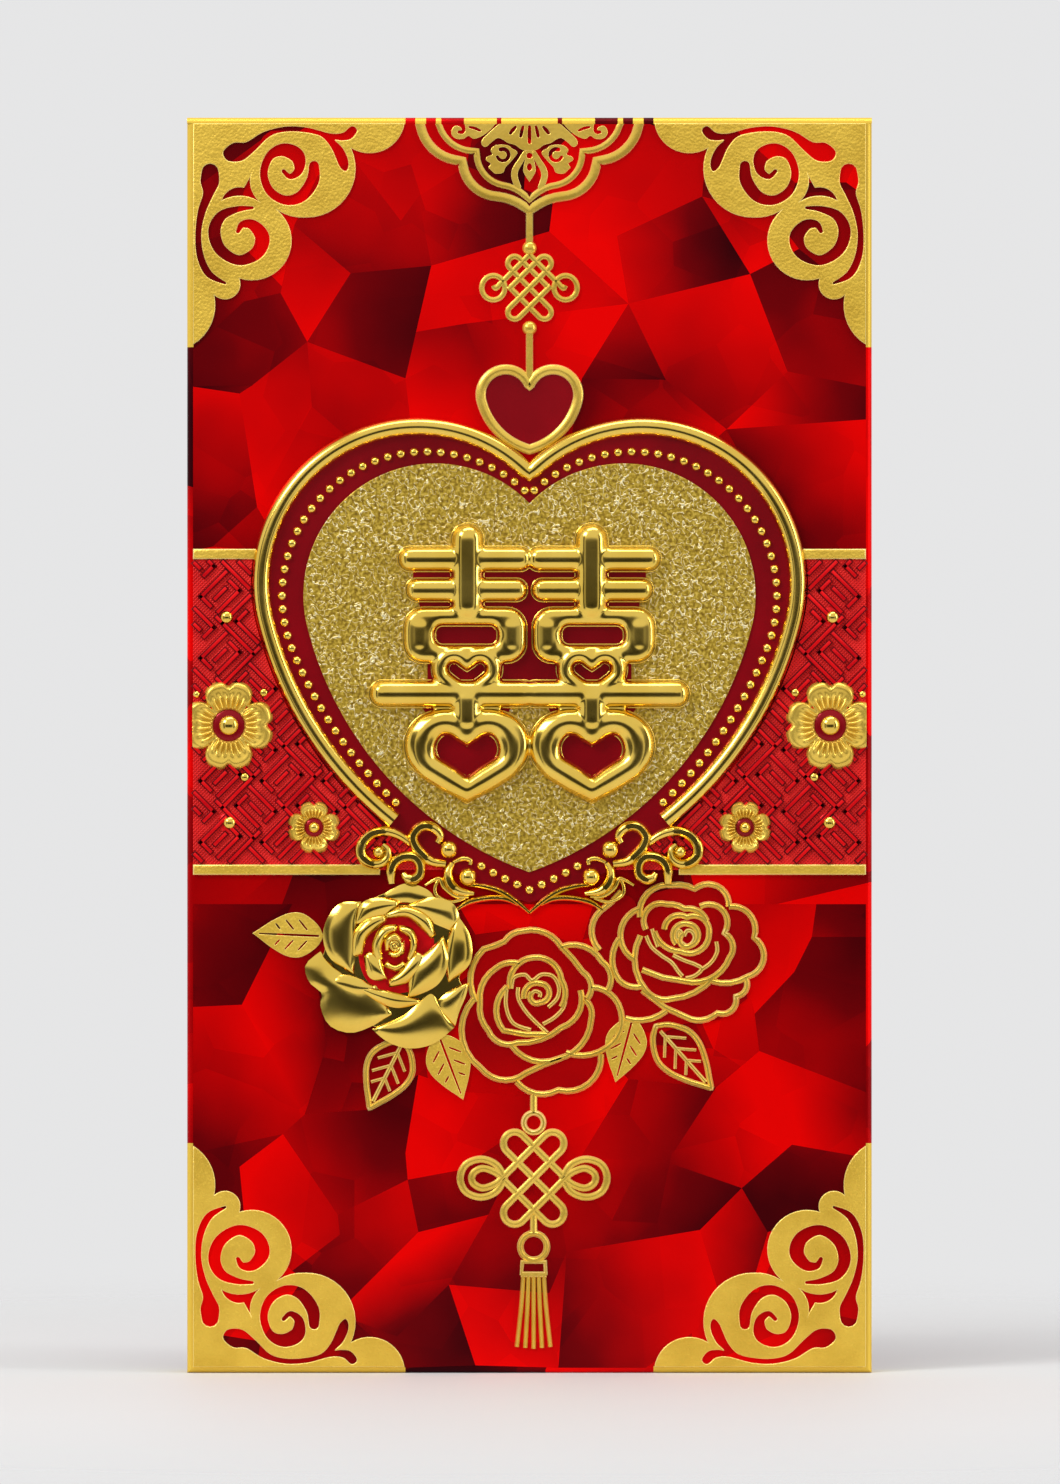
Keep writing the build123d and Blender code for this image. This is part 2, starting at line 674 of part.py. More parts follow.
# Swag: two lines a side that run together and meet in one point at the heart's tip
with BuildPart() as swag:
    with BuildSketch(front(GROUND)):
        with Locations((0, HEART_TIP_Z)):
            add(band_of_line(drawn(((-7.6, 1.8), (-3.6, 1.0), (0, -1.2))), SWAG_LINE))
            add(band_of_line(drawn(((-7.9, -0.7), (-5.6, 0.2), (-3.3, 0.7))), SWAG_LINE))
        mirror(about=Plane.YZ)
    extrude(amount=LINE)
mount(swag, "heart_swag")

# Heart ground: the enamel-red plate under rim, bead row and field
with BuildPart() as heart_ground:
    with BuildSketch(front()):
        add(heart_shape(HEART_LOBE, HEART_SPREAD, HEART_DEPTH, LOBE_Z))
    extrude(amount=GROUND)
mount(heart_ground, "heart_ground")

# Heart rim: half-round bright moulding along the heart's edge, open between the brackets
notch_angle = math.degrees(math.atan2(HEART_NOTCH_Z - LOBE_Z, -HEART_SPREAD))
with BuildPart() as heart_rim:
    with BuildLine(front(GROUND)):
        lobe_sweep = notch_angle + LOBE_FALL + RIM_OVERRUN
        lobe = CenterArc((HEART_SPREAD, LOBE_Z), HEART_LOBE, -LOBE_FALL, lobe_sweep)
        side = TangentArc(lobe @ 0, (0, HEART_TIP_Z), tangent=lobe % 0 * -1)
    rim_spots = [side @ (step / RIM_STEPS) for step in range(RIM_STEPS)]
    rim_foot_z = min(spot.Z for spot in rim_spots if spot.X > RIM_END_WIDTH)
    RIM_END_Z = max(HEART_TIP_Z + RIM_END_RISE, rim_foot_z)
    lobe_centre = front(GROUND).from_local_coords((HEART_SPREAD, LOBE_Z))
    rim_start = Plane(lobe @ 1, x_dir=lobe_centre - lobe @ 1, z_dir=lobe % 1)
    with BuildSketch(rim_start):
        with BuildLine():
            Polyline(
                (0, 0),
                (RIM_WIDTH / 4, RIM_HEIGHT),
                (RIM_WIDTH * 3 / 4, RIM_HEIGHT),
                (RIM_WIDTH, 0),
                close=True,
            )
        make_face()
    sweep(path=[lobe, side])
    split(bisect_by=Plane.YZ)
    split(bisect_by=Plane.XY.offset(RIM_END_Z))
    mirror(about=Plane.YZ)
mount(heart_rim, "heart_rim")

# Bead row: small studs at an even pitch along a heart, left out behind the brackets
ROW_LOBE = HEART_LOBE - RIM_WIDTH - ROW_GAP
ROW_DEPTH = HEART_DEPTH - ROW_DROP - ROW_TIP_LIFT
row = heart_shape(ROW_LOBE, HEART_SPREAD - ROW_NARROWING, ROW_DEPTH, LOBE_Z - ROW_DROP, ROW_FALL).wire()
ROW_COUNT = round(row.length / ROW_PITCH)
row_places = [row @ ((step + 0.5) / ROW_COUNT) for step in range(ROW_COUNT)]
BRACKET_INNER = min(abs(x) for x, _ in BRACKET_BEADS) - BRACKET_BEAD
BRACKET_TOP = RIM_END_Z + RIM_WIDTH
with BuildPart() as heart_beads:
    with BuildSketch(front(GROUND)):
        with Locations(*[spot for spot in row_places if abs(spot.X) < BRACKET_INNER or spot.Y > BRACKET_TOP]):
            RegularPolygon(ROW_BEAD, 4)
    extrude(amount=BEAD_HEIGHT)
mount(heart_beads, "heart_beads")

# Heart field: the sparkling gold panel in the middle of the heart
FIELD_LOBE = ROW_LOBE - ROW_BEAD - FIELD_GAP
FIELD_DEPTH = HEART_DEPTH - FIELD_DROP - FIELD_TIP_LIFT
with BuildPart() as heart_field:
    with BuildSketch(front(GROUND)):
        add(heart_shape(FIELD_LOBE, HEART_SPREAD - FIELD_NARROWING, FIELD_DEPTH, LOBE_Z - FIELD_DROP))
        with Locations(*[(side * x, HEART_TIP_Z + z) for side in (-1, 1) for x, z in drawn([(13.2, 8.1)])]):
            Circle(BRACKET_CLEAR, mode=Mode.SUBTRACT)
        with Locations(*BRACKET_BEADS):
            RegularPolygon(BRACKET_BEAD + BEAD_CLEAR, 12, mode=Mode.SUBTRACT)
    extrude(amount=FIELD)
mount(heart_field, "heart_field")

# Emblem plaque: a red panel that carries the raised emblem, with two hearts at its foot
PLAQUE_FOOT = PLAQUE_FOOT_SHARE * HEART_DEPTH
PLAQUE_HEART = PLAQUE_HEART_SHARE * HEART_DEPTH
PLAQUE_TIP = PLAQUE_TIP_SHARE * HEART_DEPTH
with BuildPart() as emblem_plaque:
    with BuildSketch(front(GROUND + FIELD)):
        with Locations((0, LOBE_Z + PLAQUE_TOP)):
            Rectangle(PLAQUE_WIDTH, PLAQUE_TOP + PLAQUE_FOOT, align=(Align.CENTER, Align.MAX))
        with Locations((-PLAQUE_PITCH, LOBE_Z), (PLAQUE_PITCH, LOBE_Z)):
            add(heart_shape(PLAQUE_LOBE, PLAQUE_SPREAD, PLAQUE_TIP - PLAQUE_HEART, -PLAQUE_HEART))
        with Locations((-PLAQUE_PITCH, LOBE_Z - PLAQUE_HEART), (PLAQUE_PITCH, LOBE_Z - PLAQUE_HEART)):
            Rectangle(2 * PLAQUE_SPREAD, PLAQUE_HEART - PLAQUE_FOOT, align=(Align.CENTER, Align.MIN))
    extrude(amount=PLAQUE)
mount(emblem_plaque, "emblem_plaque")


def beside_heart(low, high, reach):
    """Strip on the left from the side fold to reach, clear of the heart."""
    with BuildSketch(Plane.XY) as strip:
        with Locations((-SHEET_FLAT, low)):
            Rectangle(reach, high - low, align=Align.MIN)
        offset_heart = heart_shape(HEART_LOBE + BAND_GAP, HEART_SPREAD, HEART_DEPTH + BAND_GAP, LOBE_Z)
        add(offset_heart, mode=Mode.SUBTRACT)
    return strip.sketch


# Side bands of lattice paper and the plain rails along their upper and lower edges
BAND_TOP_Z = LOBE_Z + BAND_TOP
BAND_FOOT_Z = HEART_TIP_Z + BAND_FOOT_RISE
for name, low, high, reach, height in (
    ("band", BAND_FOOT_Z, BAND_TOP_Z, SHEET_FLAT, GROUND),
    ("upper_rail", BAND_TOP_Z, BAND_TOP_Z + RAIL_WIDTH, SHEET_FLAT, RAIL),
    ("lower_rail", BAND_FOOT_Z - RAIL_WIDTH, BAND_FOOT_Z, RAIL_LENGTH, RAIL),
):
    with BuildPart() as left_strip:
        with BuildSketch(front()):
            add(beside_heart(low, high, reach))
        extrude(amount=height)
    mount(left_strip, f"{name}_left")
    with BuildPart() as right_strip:
        mirror(left_strip.part, about=Plane.YZ)
    mount(right_strip, f"{name}_right")


def blossom_shape(radius):
    """Four broad petals, each notched into two round lobes, about an open middle."""
    lobe = ((0, 0), (0.42, 0.47), (0.72, 0.57), (0.95, 0.45), (1.0, 0.2), (PETAL_NOTCH, 0))
    with BuildSketch(Plane.XY) as petal:
        with BuildLine():
            Polyline(*[(radius * x, radius * y) for x, y in lobe])
            mirror(about=Plane.XZ)
        make_face()
    with BuildSketch(Plane.XY) as blossom:
        with PolarLocations(0, 4):
            add(petal.sketch)
        RegularPolygon(PETAL_EYE * radius, 12, mode=Mode.SUBTRACT)
    return blossom.sketch


# Blossoms on the bands, the large ones cut off at the side fold
BIG_X = SHEET_HALF - BIG_BLOSSOM_INSET
BIG_Z = BAND_FOOT_Z + BIG_BLOSSOM_SHARE * (BAND_TOP_Z - BAND_FOOT_Z)
BLOSSOMS = {
    "big_blossom": (BIG_BLOSSOM, BIG_X, BIG_Z),
    "small_blossom": (SMALL_BLOSSOM, SHEET_HALF - SMALL_BLOSSOM_INSET, BAND_FOOT_Z + SMALL_BLOSSOM_RISE),
}
bosses = []
for name, (radius, reach, centre_z) in BLOSSOMS.items():
    centre = (-reach, centre_z)
    with BuildPart() as left_blossom:
        with BuildSketch(front(GROUND)):
            with Locations(centre):
                add(blossom_shape(radius))
            with Locations((-SHEET_FLAT, 0)):
                Rectangle(SHEET_HALF, SHEET_TOP, align=(Align.MAX, Align.MIN), mode=Mode.SUBTRACT)
        extrude(amount=BLOSSOM)
    mount(left_blossom, f"{name}_left")
    with BuildPart() as right_blossom:
        mirror(left_blossom.part, about=Plane.YZ)
    mount(right_blossom, f"{name}_right")
    bosses += [(centre, radius), ((-centre[0], centre[1]), radius)]

# Bosses in the eyes of the blossoms, and loose studs about the large ones
with BuildPart() as blossom_bosses:
    for (x, z), radius in bosses:
        with BuildSketch(front(GROUND)):
            with Locations((x, z)):
                RegularPolygon(PETAL_BOSS * radius, 8)
        extrude(amount=BLOSSOM)
mount(blossom_bosses, "blossom_bosses")

STUD_X = SHEET_HALF - STUD_INSET
STUD_LEVELS = (BAND_TOP_Z - STUD_DROP, BAND_FOOT_Z + STUD_RISE)
stud_places = [(side * STUD_X, level) for side in (-1, 1) for level in STUD_LEVELS]
mount(studs(stud_places, STUD, STUD_HEIGHT, GROUND), "band_studs")
small_stud_places = []
for side in (-1, 1):
    for bearing, share in ((45, 1.07), (135, 0.98), (-73, 1.22)):
        angle = math.radians(bearing)
        across, rise = (BIG_BLOSSOM * share * turn for turn in (math.cos(angle), math.sin(angle)))
        small_stud_places.append((side * (BIG_X - across), BIG_Z + rise))
mount(studs(small_stud_places, SMALL_STUD, STUD_HEIGHT, GROUND), "small_studs")

# Main petal lines of the two drawn roses, each a run of arcs
CENTRE_PETALS = [
    drawn(line)
    for line in (
        ((-7.0, -13.0), (-7.5, -8.8), (-6.0, -6.1), (-3.1, -4.9), (-0.8, -3.7), (2.2, -4.0), (4.2, -5.8)),
        ((4.2, -5.8), (7.3, -5.8), (9.5, -7.7), (10.7, -9.6), (10.3, -11.5)),
        ((8.1, -11.1), (12.0, -14.2), (10.2, -19.0), (7.8, -20.0), (4.8, -19.7)),
        ((-1.3, -8.0), (-5.3, -9.5), (-6.5, -13.1), (-6.3, -15.3), (-5.4, -16.8)),
        ((-5.4, -16.8), (-1.6, -18.6), (4.2, -16.4), (6.7, -13.9), (6.7, -11.5)),
        ((-2.5, -11.3), (0.5, -7.2), (4.2, -10.1), (4.6, -11.9), (4.2, -13.7)),
        ((-7.3, -12.6), (-8.8, -17.6), (-5.0, -22.7), (-0.5, -22.6), (4.2, -20.4)),
        ((-1.7, -23.5), (3.0, -24.8), (8.1, -23.2), (9.2, -21.5), (9.4, -19.9)),
    )
]
RIGHT_PETALS = [
    drawn(line)
    for line in (
        ((14.5, -1.9), (15.5, 0.2), (18.8, 1.5), (22.5, 1.2), (26.2, -0.5)),
        ((26.2, -0.5), (28.9, -1.7), (29.5, -4.6), (30.7, -7.2), (28.7, -9.7), (26.6, -10.5), (23.9, -10.3)),
        ((14.4, -0.8), (12.1, -3.2), (13.8, -7.5)),
        ((14.6, -4.3), (13.9, -8.1), (16.2, -12.3), (20.7, -12.2), (24.1, -9.9)),
        ((15.3, -3.5), (17.6, -0.3), (22.4, -0.8), (25.9, -4.5), (24.7, -9.0), (20.0, -10.2), (14.8, -8.8)),
        ((17.7, -3.5), (20.7, -1.9), (23.4, -3.5), (21.2, -6.5), (16.8, -4.6)),
        ((12.1, 0.7), (9.3, -1.1), (8.4, -3.4), (8.4, -4.9), (9.2, -6.2)),
        ((14.8, -11.5), (20.5, -15.2), (26.5, -14.0), (28.0, -12.2), (28.3, -9.8)),
    )
]


def rose_ground(outline, clear_of):
    """Ground of a rose within its outline, cut back where the rose in front covers it."""
    with BuildSketch(Plane.XY) as ground:
        with Locations((0, HEART_TIP_Z)):
            add(closed_outline(outline))
        add(clear_of, mode=Mode.SUBTRACT)
    return ground.sketch


def rose_lines(petals, clear_of):
    """Main petal lines of a drawn rose, cut back where the rose in front covers them."""
    with BuildSketch(Plane.XY) as lines:
        with Locations((0, HEART_TIP_Z)):
            for petal in petals:
                add(band_of_line(petal, ROSE_LINE))
        add(clear_of, mode=Mode.SUBTRACT)
    return lines.sketch


# Left rose: tiers of petals in relief round a bud
with BuildSketch(Plane.XY) as left_rose_base:
    with Locations((0, HEART_TIP_Z)):
        add(closed_outline(LEFT_ROSE))
with BuildPart() as rose_left:
    with BuildSketch(front()):
        add(left_rose_base.sketch)
    extrude(amount=ROSE_TIER)
    for tier, reach, petal, count in (
        (1, OUTER_PETAL_RADIUS, OUTER_PETAL, OUTER_PETAL_COUNT),
        (2, INNER_PETAL_RADIUS, INNER_PETAL, INNER_PETAL_COUNT),
    ):
        with BuildSketch(front(tier * ROSE_TIER)):
            with Locations((-ROSE_HEART_OFFSET, HEART_TIP_Z - ROSE_HEART_DROP)):
                with PolarLocations(reach, count, start_angle=tier * ROSE_TWIST):
                    RegularPolygon(petal, PETAL_SIDES)
        extrude(amount=ROSE_TIER)
mount(rose_left, "rose_left")

# Drawn roses: gold petal lines on a thin red ground, the right one behind the middle one
left_cover = left_rose_base.sketch
centre_lines = rose_lines(CENTRE_PETALS, left_cover)
centre_ground = rose_ground(CENTRE_ROSE, left_cover)
with BuildSketch(Plane.XY) as front_roses:
    add(left_cover)
    add(centre_ground)
    add(centre_lines)
right_lines = rose_lines(RIGHT_PETALS, front_roses.sketch)
right_ground = rose_ground(RIGHT_ROSE, front_roses.sketch)
for side, ground, lines in (
    ("centre", centre_ground, centre_lines),
    ("right", right_ground, right_lines),
):
    with BuildPart() as rose_base:
        with BuildSketch(front()):
            add(ground)
        extrude(amount=ROSE_GROUND)
    mount(rose_base, f"rose_ground_{side}")
    with BuildPart() as rose:
        with BuildSketch(front(ROSE_GROUND)):
            add(lines)
        extrude(amount=LINE)
    mount(rose, f"rose_{side}")


def leaf_shape(base, tip, breadth):
    """Pointed leaf of two arcs from base to tip, its breadth as a share of its length."""
    with BuildSketch(Plane.XY) as leaf:
        with BuildLine():
            spine = Line(base, tip, mode=Mode.PRIVATE)
            across = (spine % 0.5).rotate(Axis.Z, 90) * (breadth * spine.length / 2)
            ThreePointArc(base, spine @ LEAF_BELLY_SHARE + across, tip)
            ThreePointArc(base, spine @ LEAF_BELLY_SHARE - across, tip)
        make_face()
    return leaf.sketch


# Leaves: three plain ones and two drawn in outline, tucked under the roses
with BuildSketch(Plane.XY) as all_roses:
    add(front_roses.sketch)
    add(right_ground)
    add(right_lines)
LEAVES = {
    "leaf_far_left": ((-26.8, -4.8), (-36.3, -4.1), 0.61, False),
    "leaf_lower_left": ((-16.2, -17.9), (-21.0, -27.0), 0.54, True),
    "leaf_mid_left": ((-12.0, -16.5), (-8.7, -25.9), 0.50, False),
    "leaf_mid_right": ((13.2, -14.6), (11.3, -23.4), 0.51, False),
    "leaf_lower_right": ((16.0, -15.0), (23.9, -24.3), 0.44, True),
}
for name, (base, tip, breadth, in_outline) in LEAVES.items():
    with BuildPart() as leaf:
        with BuildSketch(front()):
            with Locations((0, HEART_TIP_Z)):
                add(leaf_shape(*drawn((base, tip)), breadth))
            if in_outline:
                offset(amount=-LEAF_LINE, mode=Mode.SUBTRACT)
            add(all_roses.sketch, mode=Mode.SUBTRACT)
        extrude(amount=LINE)
    mount(leaf, name)


def hang(piece, name):
    """Lay a piece of the lower pendant, drawn from its top downwards, under the roses."""
    mount(piece, name, ROSE_FOOT_Z)


# Lower knot: three strands each way, with a double loop at either side
LOWER_SIDE_REACH = LOWER_KNOT_CORNER + LOWER_SIDE_LOOP - LOWER_KNOT_STRAND
LOWER_INNER_REACH = LOWER_KNOT_CORNER + LOWER_INNER_LOOP - LOWER_KNOT_STRAND
with BuildSketch(Plane.XY) as lower_knot_outline:
    with Locations((0, LOWER_KNOT_Z)):
        add(knot_shape(3, LOWER_KNOT_PITCH, LOWER_KNOT_STRAND, LOWER_TURN_LENGTH, LOWER_SHIFT))
    for reach, loop in (
        (LOWER_SIDE_REACH, LOWER_SIDE_LOOP),
        (LOWER_INNER_REACH, LOWER_INNER_LOOP),
    ):
        with Locations((-reach, LOWER_KNOT_Z), (reach, LOWER_KNOT_Z)):
            add(ring_shape(loop, LOWER_KNOT_STRAND))
with BuildPart() as lower_knot:
    with BuildSketch(front()):
        add(lower_knot_outline.sketch)
    extrude(amount=LINE)
hang(lower_knot, "lower_knot")

# Rings: one in the hollow between the knot's two top turns, one over the tassel
for name, ring_z, outer, bore in (
    ("knot_ring", LOWER_RING_Z, LOWER_RING, LOWER_RING_BORE),
    ("tassel_ring", TASSEL_RING_Z, TASSEL_RING, TASSEL_RING_BORE),
):
    with BuildPart() as ring:
        with BuildSketch(front()):
            with Locations((0, ring_z)):
                add(ring_shape((outer + bore) / 2, outer - bore))
        extrude(amount=LINE)
    hang(ring, name)

# Stems over the two rings, the first of them cut off along the edge of the middle rose
rose_edge = all_roses.sketch.translate((0, -ROSE_FOOT_Z, 0))
with BuildPart() as lower_stems:
    for head, foot in (
        (STEM_LAP, LOWER_RING_Z + LOWER_RING),
        (LOWER_KNOT_Z - LOWER_KNOT_CORNER, TASSEL_RING_Z + TASSEL_RING),
    ):
        with BuildSketch(front()):
            with Locations((0, (head + foot) / 2)):
                Rectangle(STEM_WIDTH, head - foot)
            add(rose_edge, mode=Mode.SUBTRACT)
            add(lower_knot_outline.sketch, mode=Mode.SUBTRACT)
        extrude(amount=LINE)
hang(lower_stems, "lower_stems")

# Tassel cap with its window, and the strands that spread below it
with BuildPart() as tassel_cap:
    with BuildSketch(front()):
        with Locations((0, (STRAND_TOP + CAP_TOP) / 2)):
            Rectangle(TASSEL_CAP_WIDTH, TASSEL_CAP_HEIGHT)
            Rectangle(TASSEL_CAP_WIDTH * 2 / 3, TASSEL_CAP_HEIGHT / 3, mode=Mode.SUBTRACT)
    extrude(amount=LINE)
hang(tassel_cap, "tassel_cap")

with BuildPart() as tassel_strands:
    for strand in range(TASSEL_STRANDS):
        share = strand / (TASSEL_STRANDS - 1) - 0.5
        top_x = share * (TASSEL_CAP_WIDTH - TASSEL_STRAND)
        foot_x = share * TASSEL_SPREAD
        with BuildSketch(front()):
            with BuildLine():
                Line((top_x, STRAND_TOP), (foot_x, STRAND_FOOT))
            trace(line_width=TASSEL_STRAND)
            with Locations((0, STRAND_TOP)):
                Rectangle(
                    TASSEL_CAP_WIDTH,
                    TASSEL_STRAND,
                    align=(Align.CENTER, Align.MIN),
                    mode=Mode.SUBTRACT,
                )
        extrude(amount=LINE)
hang(tassel_strands, "tassel_strands")
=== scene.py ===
import itertools
import math

import bmesh
import bpy
from mathutils import Matrix, Vector


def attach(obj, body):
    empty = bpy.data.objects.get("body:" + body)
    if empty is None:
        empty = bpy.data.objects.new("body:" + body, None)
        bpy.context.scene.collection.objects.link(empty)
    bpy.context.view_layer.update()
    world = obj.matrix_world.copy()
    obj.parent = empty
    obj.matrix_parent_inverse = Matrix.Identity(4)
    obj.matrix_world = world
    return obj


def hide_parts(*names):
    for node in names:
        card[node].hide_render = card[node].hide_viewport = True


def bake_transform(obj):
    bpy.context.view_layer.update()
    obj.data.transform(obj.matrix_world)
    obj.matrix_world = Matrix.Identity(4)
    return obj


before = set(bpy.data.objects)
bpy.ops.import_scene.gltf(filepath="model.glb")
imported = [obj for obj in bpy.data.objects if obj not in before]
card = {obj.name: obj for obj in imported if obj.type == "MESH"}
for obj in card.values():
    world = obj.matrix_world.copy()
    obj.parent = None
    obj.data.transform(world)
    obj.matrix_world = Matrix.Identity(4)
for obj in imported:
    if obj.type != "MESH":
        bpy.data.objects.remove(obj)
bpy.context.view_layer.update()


# Card blank: one sheet of red card, folded into front, spines, back and tabs and glued at the side
# and the bottom. Outside it carries a glossy metallised film printed with a pattern of crystal
# facets, whose colour also carries painted light and shade that slopes across each facet, and soft
# painted glows; inside and on the cut edges the bare white board shows.
def finish(name, **values):
    """A new material and its main shader, with the shader's constant values set."""
    material = bpy.data.materials.new(name)
    material.use_nodes = True
    shader = material.node_tree.nodes["Principled BSDF"]
    for socket, value in values.items():
        shader.inputs[socket.replace("_", " ")].default_value = value
    return material, shader


def node(material, kind, inputs=(), **settings):
    """A new node, with settings on it and values or links on its inputs."""
    made = material.node_tree.nodes.new("ShaderNode" + kind)
    for setting, value in settings.items():
        setattr(made, setting, value)
    for socket, value in dict(inputs).items():
        if isinstance(value, bpy.types.NodeSocket):
            material.node_tree.links.new(value, made.inputs[socket])
        else:
            made.inputs[socket].default_value = value
    return made


def math_of(material, operation, first, second=0.0, third=0.0):
    """Output of a Math node on its values or sockets."""
    return node(material, "Math", {0: first, 1: second, 2: third}, operation=operation).outputs[0]


def ramp(material, factor, stops):
    """Colour output of a ramp through (position, colour) stops."""
    made = node(material, "ValToRGB", {"Fac": factor})
    elements = made.color_ramp.elements
    while len(elements) < len(stops):
        elements.new(0.5)
    for element, (position, colour) in zip(elements, stops):
        element.position = position
        element.color = (*colour, 1.0)
    return made.outputs["Color"]


def eased(material, value, start, end, low, high):
    """Output that runs smoothly from low to high while a value runs from start to end."""
    limits = {"Value": value, "From Min": start, "From Max": end, "To Min": low, "To Max": high}
    return node(material, "MapRange", limits, interpolation_type="SMOOTHSTEP").outputs[0]


def scaled(material, value, low, high, start=0.0, end=1.0):
    """Output that runs evenly from low to high while a value runs from start to end."""
    limits = {"Value": value, "From Min": start, "From Max": end, "To Min": low, "To Max": high}
    return node(material, "MapRange", limits).outputs[0]


def within(material, place, low, high):
    """1 inside a box between low and high, in metres, and 0 outside; None leaves a side open."""
    axes = node(material, "SeparateXYZ", {0: place}).outputs
    inside = None
    for axis in range(3):
        for limit, operation in ((low[axis], "GREATER_THAN"), (high[axis], "LESS_THAN")):
            if limit is not None:
                test = math_of(material, operation, axes[axis], limit)
                inside = test if inside is None else math_of(material, "MULTIPLY", inside, test)
    return inside


def mixed(material, factor, first, second):
    """Colour output between two colours or sockets."""
    made = node(material, "Mix", {0: factor, 6: first, 7: second}, data_type="RGBA")
    return made.outputs[2]


def facet_tone(material, place, size, reach):
    """Painted light and shade of crystal facets about size metres across, each with its own slope."""
    cells = node(material, "TexVoronoi", {"Vector": place, "Scale": 1.0 / size, "Randomness": 0.9})
    away = node(material, "VectorMath", {0: place, 1: cells.outputs["Position"]}, operation="SUBTRACT")
    aim = node(
        material,
        "VectorMath",
        {0: cells.outputs["Color"], 1: (2.0, 2.0, 2.0), 2: (-1.0, -1.0, -1.0)},
        operation="MULTIPLY_ADD",
    )
    lean = node(material, "VectorMath", {0: away.outputs[0], 1: aim.outputs[0]}, operation="DOT_PRODUCT")
    own = node(material, "SeparateXYZ", {0: cells.outputs["Color"]}).outputs[1]
    slope = math_of(material, "MULTIPLY", lean.outputs["Value"], reach / size)
    return math_of(material, "ADD", slope, own)


def film_red(material, tone):
    """Colour of the red film from deep crimson at tone 0 to full red at 1."""
    stops = (
        (0.0, (0.035, 0.0, 0.002)),
        (0.3, (0.19, 0.0, 0.002)),
        (0.6, (0.58, 0.0, 0.001)),
        (0.92, (1.0, 0.0, 0.0)),
    )
    return ramp(material, tone, stops)


# Gold foil that runs over the folds, in metres off the middle of the sheet: from the corner scrolls on
# the side folds and the level folds, and from the crown medallion on the top fold alone.
SHEET_MIDDLE = (0.0, 0.0, 0.0825)
LEVEL_FOLD = 0.0816
SIDE_FOLD_GOLD = (0.04415, None, 0.0523)
LEVEL_FOLD_GOLD = (0.0163, None, LEVEL_FOLD)
CROWN_GOLD = ((0.0136, 0.0150), (0.0116, 0.0123), (0.0043, 0.0086), (-0.001, 0.0037))
TOP_FOLD = (None, None, 0.15)
OPEN = (None, None, None)


def fold_gold(material, place):
    """1 where gold foil runs over a fold of the sheet, and 0 elsewhere."""
    off = node(material, "VectorMath", {0: place, 1: SHEET_MIDDLE}, operation="SUBTRACT").outputs[0]
    off_middle = node(material, "VectorMath", {0: off}, operation="ABSOLUTE").outputs[0]
    upright = within(material, off_middle, SIDE_FOLD_GOLD, OPEN)
    level = within(material, off_middle, LEVEL_FOLD_GOLD, OPEN)
    top = within(material, place, TOP_FOLD, OPEN)
    gold = math_of(material, "MAXIMUM", upright, level)
    for near, far in CROWN_GOLD:
        line = within(material, off_middle, (near, None, LEVEL_FOLD), (far, None, None))
        gold = math_of(material, "MAXIMUM", gold, math_of(material, "MULTIPLY", line, top))
    return gold


def crystal_film(name, inside, gold_folds=False):
    """Faceted red film, with bare white board in the inside box and gold folds if asked for."""
    material, shader = finish(name, IOR=1.45, Specular_IOR_Level=0.08)
    place = node(material, "TexCoord").outputs["Object"]
    shifted = node(material, "Mapping", {"Vector": place, "Location": (0.0137, 0.004, 0.0071)}).outputs[0]
    large = facet_tone(material, shifted, size=0.021, reach=0.9)
    small = facet_tone(material, shifted, size=0.0125, reach=0.8)
    # Soft painted glows and shade inside the facets.
    glow_shade = node(material, "TexNoise", {"Vector": place, "Scale": 48.0, "Detail": 1.5}).outputs[0]
    tone = math_of(material, "MULTIPLY_ADD", large, 0.62, 0.14)
    tone = math_of(material, "MULTIPLY_ADD", small, 0.14, tone)
    tone = math_of(material, "MULTIPLY_ADD", math_of(material, "SUBTRACT", glow_shade, 0.5), 0.6, tone)
    printed = film_red(material, tone)
    if gold_folds:
        printed = mixed(material, fold_gold(material, place), printed, (0.86, 0.57, 0.075, 1.0))
    bare = within(material, place, *inside)
    fibres = node(material, "TexNoise", {"Vector": place, "Scale": 900.0, "Detail": 6.0}).outputs[0]
    board = ramp(material, fibres, ((0.3, (0.70, 0.68, 0.64)), (0.7, (0.82, 0.80, 0.77))))
    ripple = node(material, "TexNoise", {"Vector": place, "Scale": 110.0, "Detail": 2.0}).outputs[0]
    bump = node(material, "Bump", {"Height": ripple, "Strength": 0.25, "Distance": 0.0003})
    shine = scaled(material, bare, low=0.3, high=0.0)
    rough = scaled(material, bare, low=0.3, high=0.85)
    links = material.node_tree.links
    links.new(mixed(material, bare, printed, board), shader.inputs["Base Color"])
    links.new(shine, shader.inputs["Metallic"])
    links.new(rough, shader.inputs["Roughness"])
    links.new(bump.outputs[0], shader.inputs["Normal"])
    return material


def cover(name, material):
    """Gives a solid of the frame its finish."""
    card[name].data.materials.clear()
    card[name].data.materials.append(material)


# Boxes, in metres, in which the white board shows: just under a card's thickness inside the outer
# faces.
POCKET_INSIDE = ((-0.04462, -0.00252, 0.00038), (0.04462, 0.00252, 0.16458))
LID_INSIDE = (OPEN, (None, None, 0.16462))
FLAP_INSIDE = (OPEN, (None, 0.00312, None))
PANELS = ("front_panel", "bottom_spine", "left_spine", "right_spine", "back_panel")
GLUE_TABS = ("side_glue_tab", "bottom_glue_tab")
pocket_film = crystal_film("pocket_film", POCKET_INSIDE, gold_folds=True)
for name in PANELS + GLUE_TABS:
    cover(name, pocket_film)
cover("lid_strip", crystal_film("lid_film", LID_INSIDE, gold_folds=True))
cover("closing_flap", crystal_film("flap_film", FLAP_INSIDE))


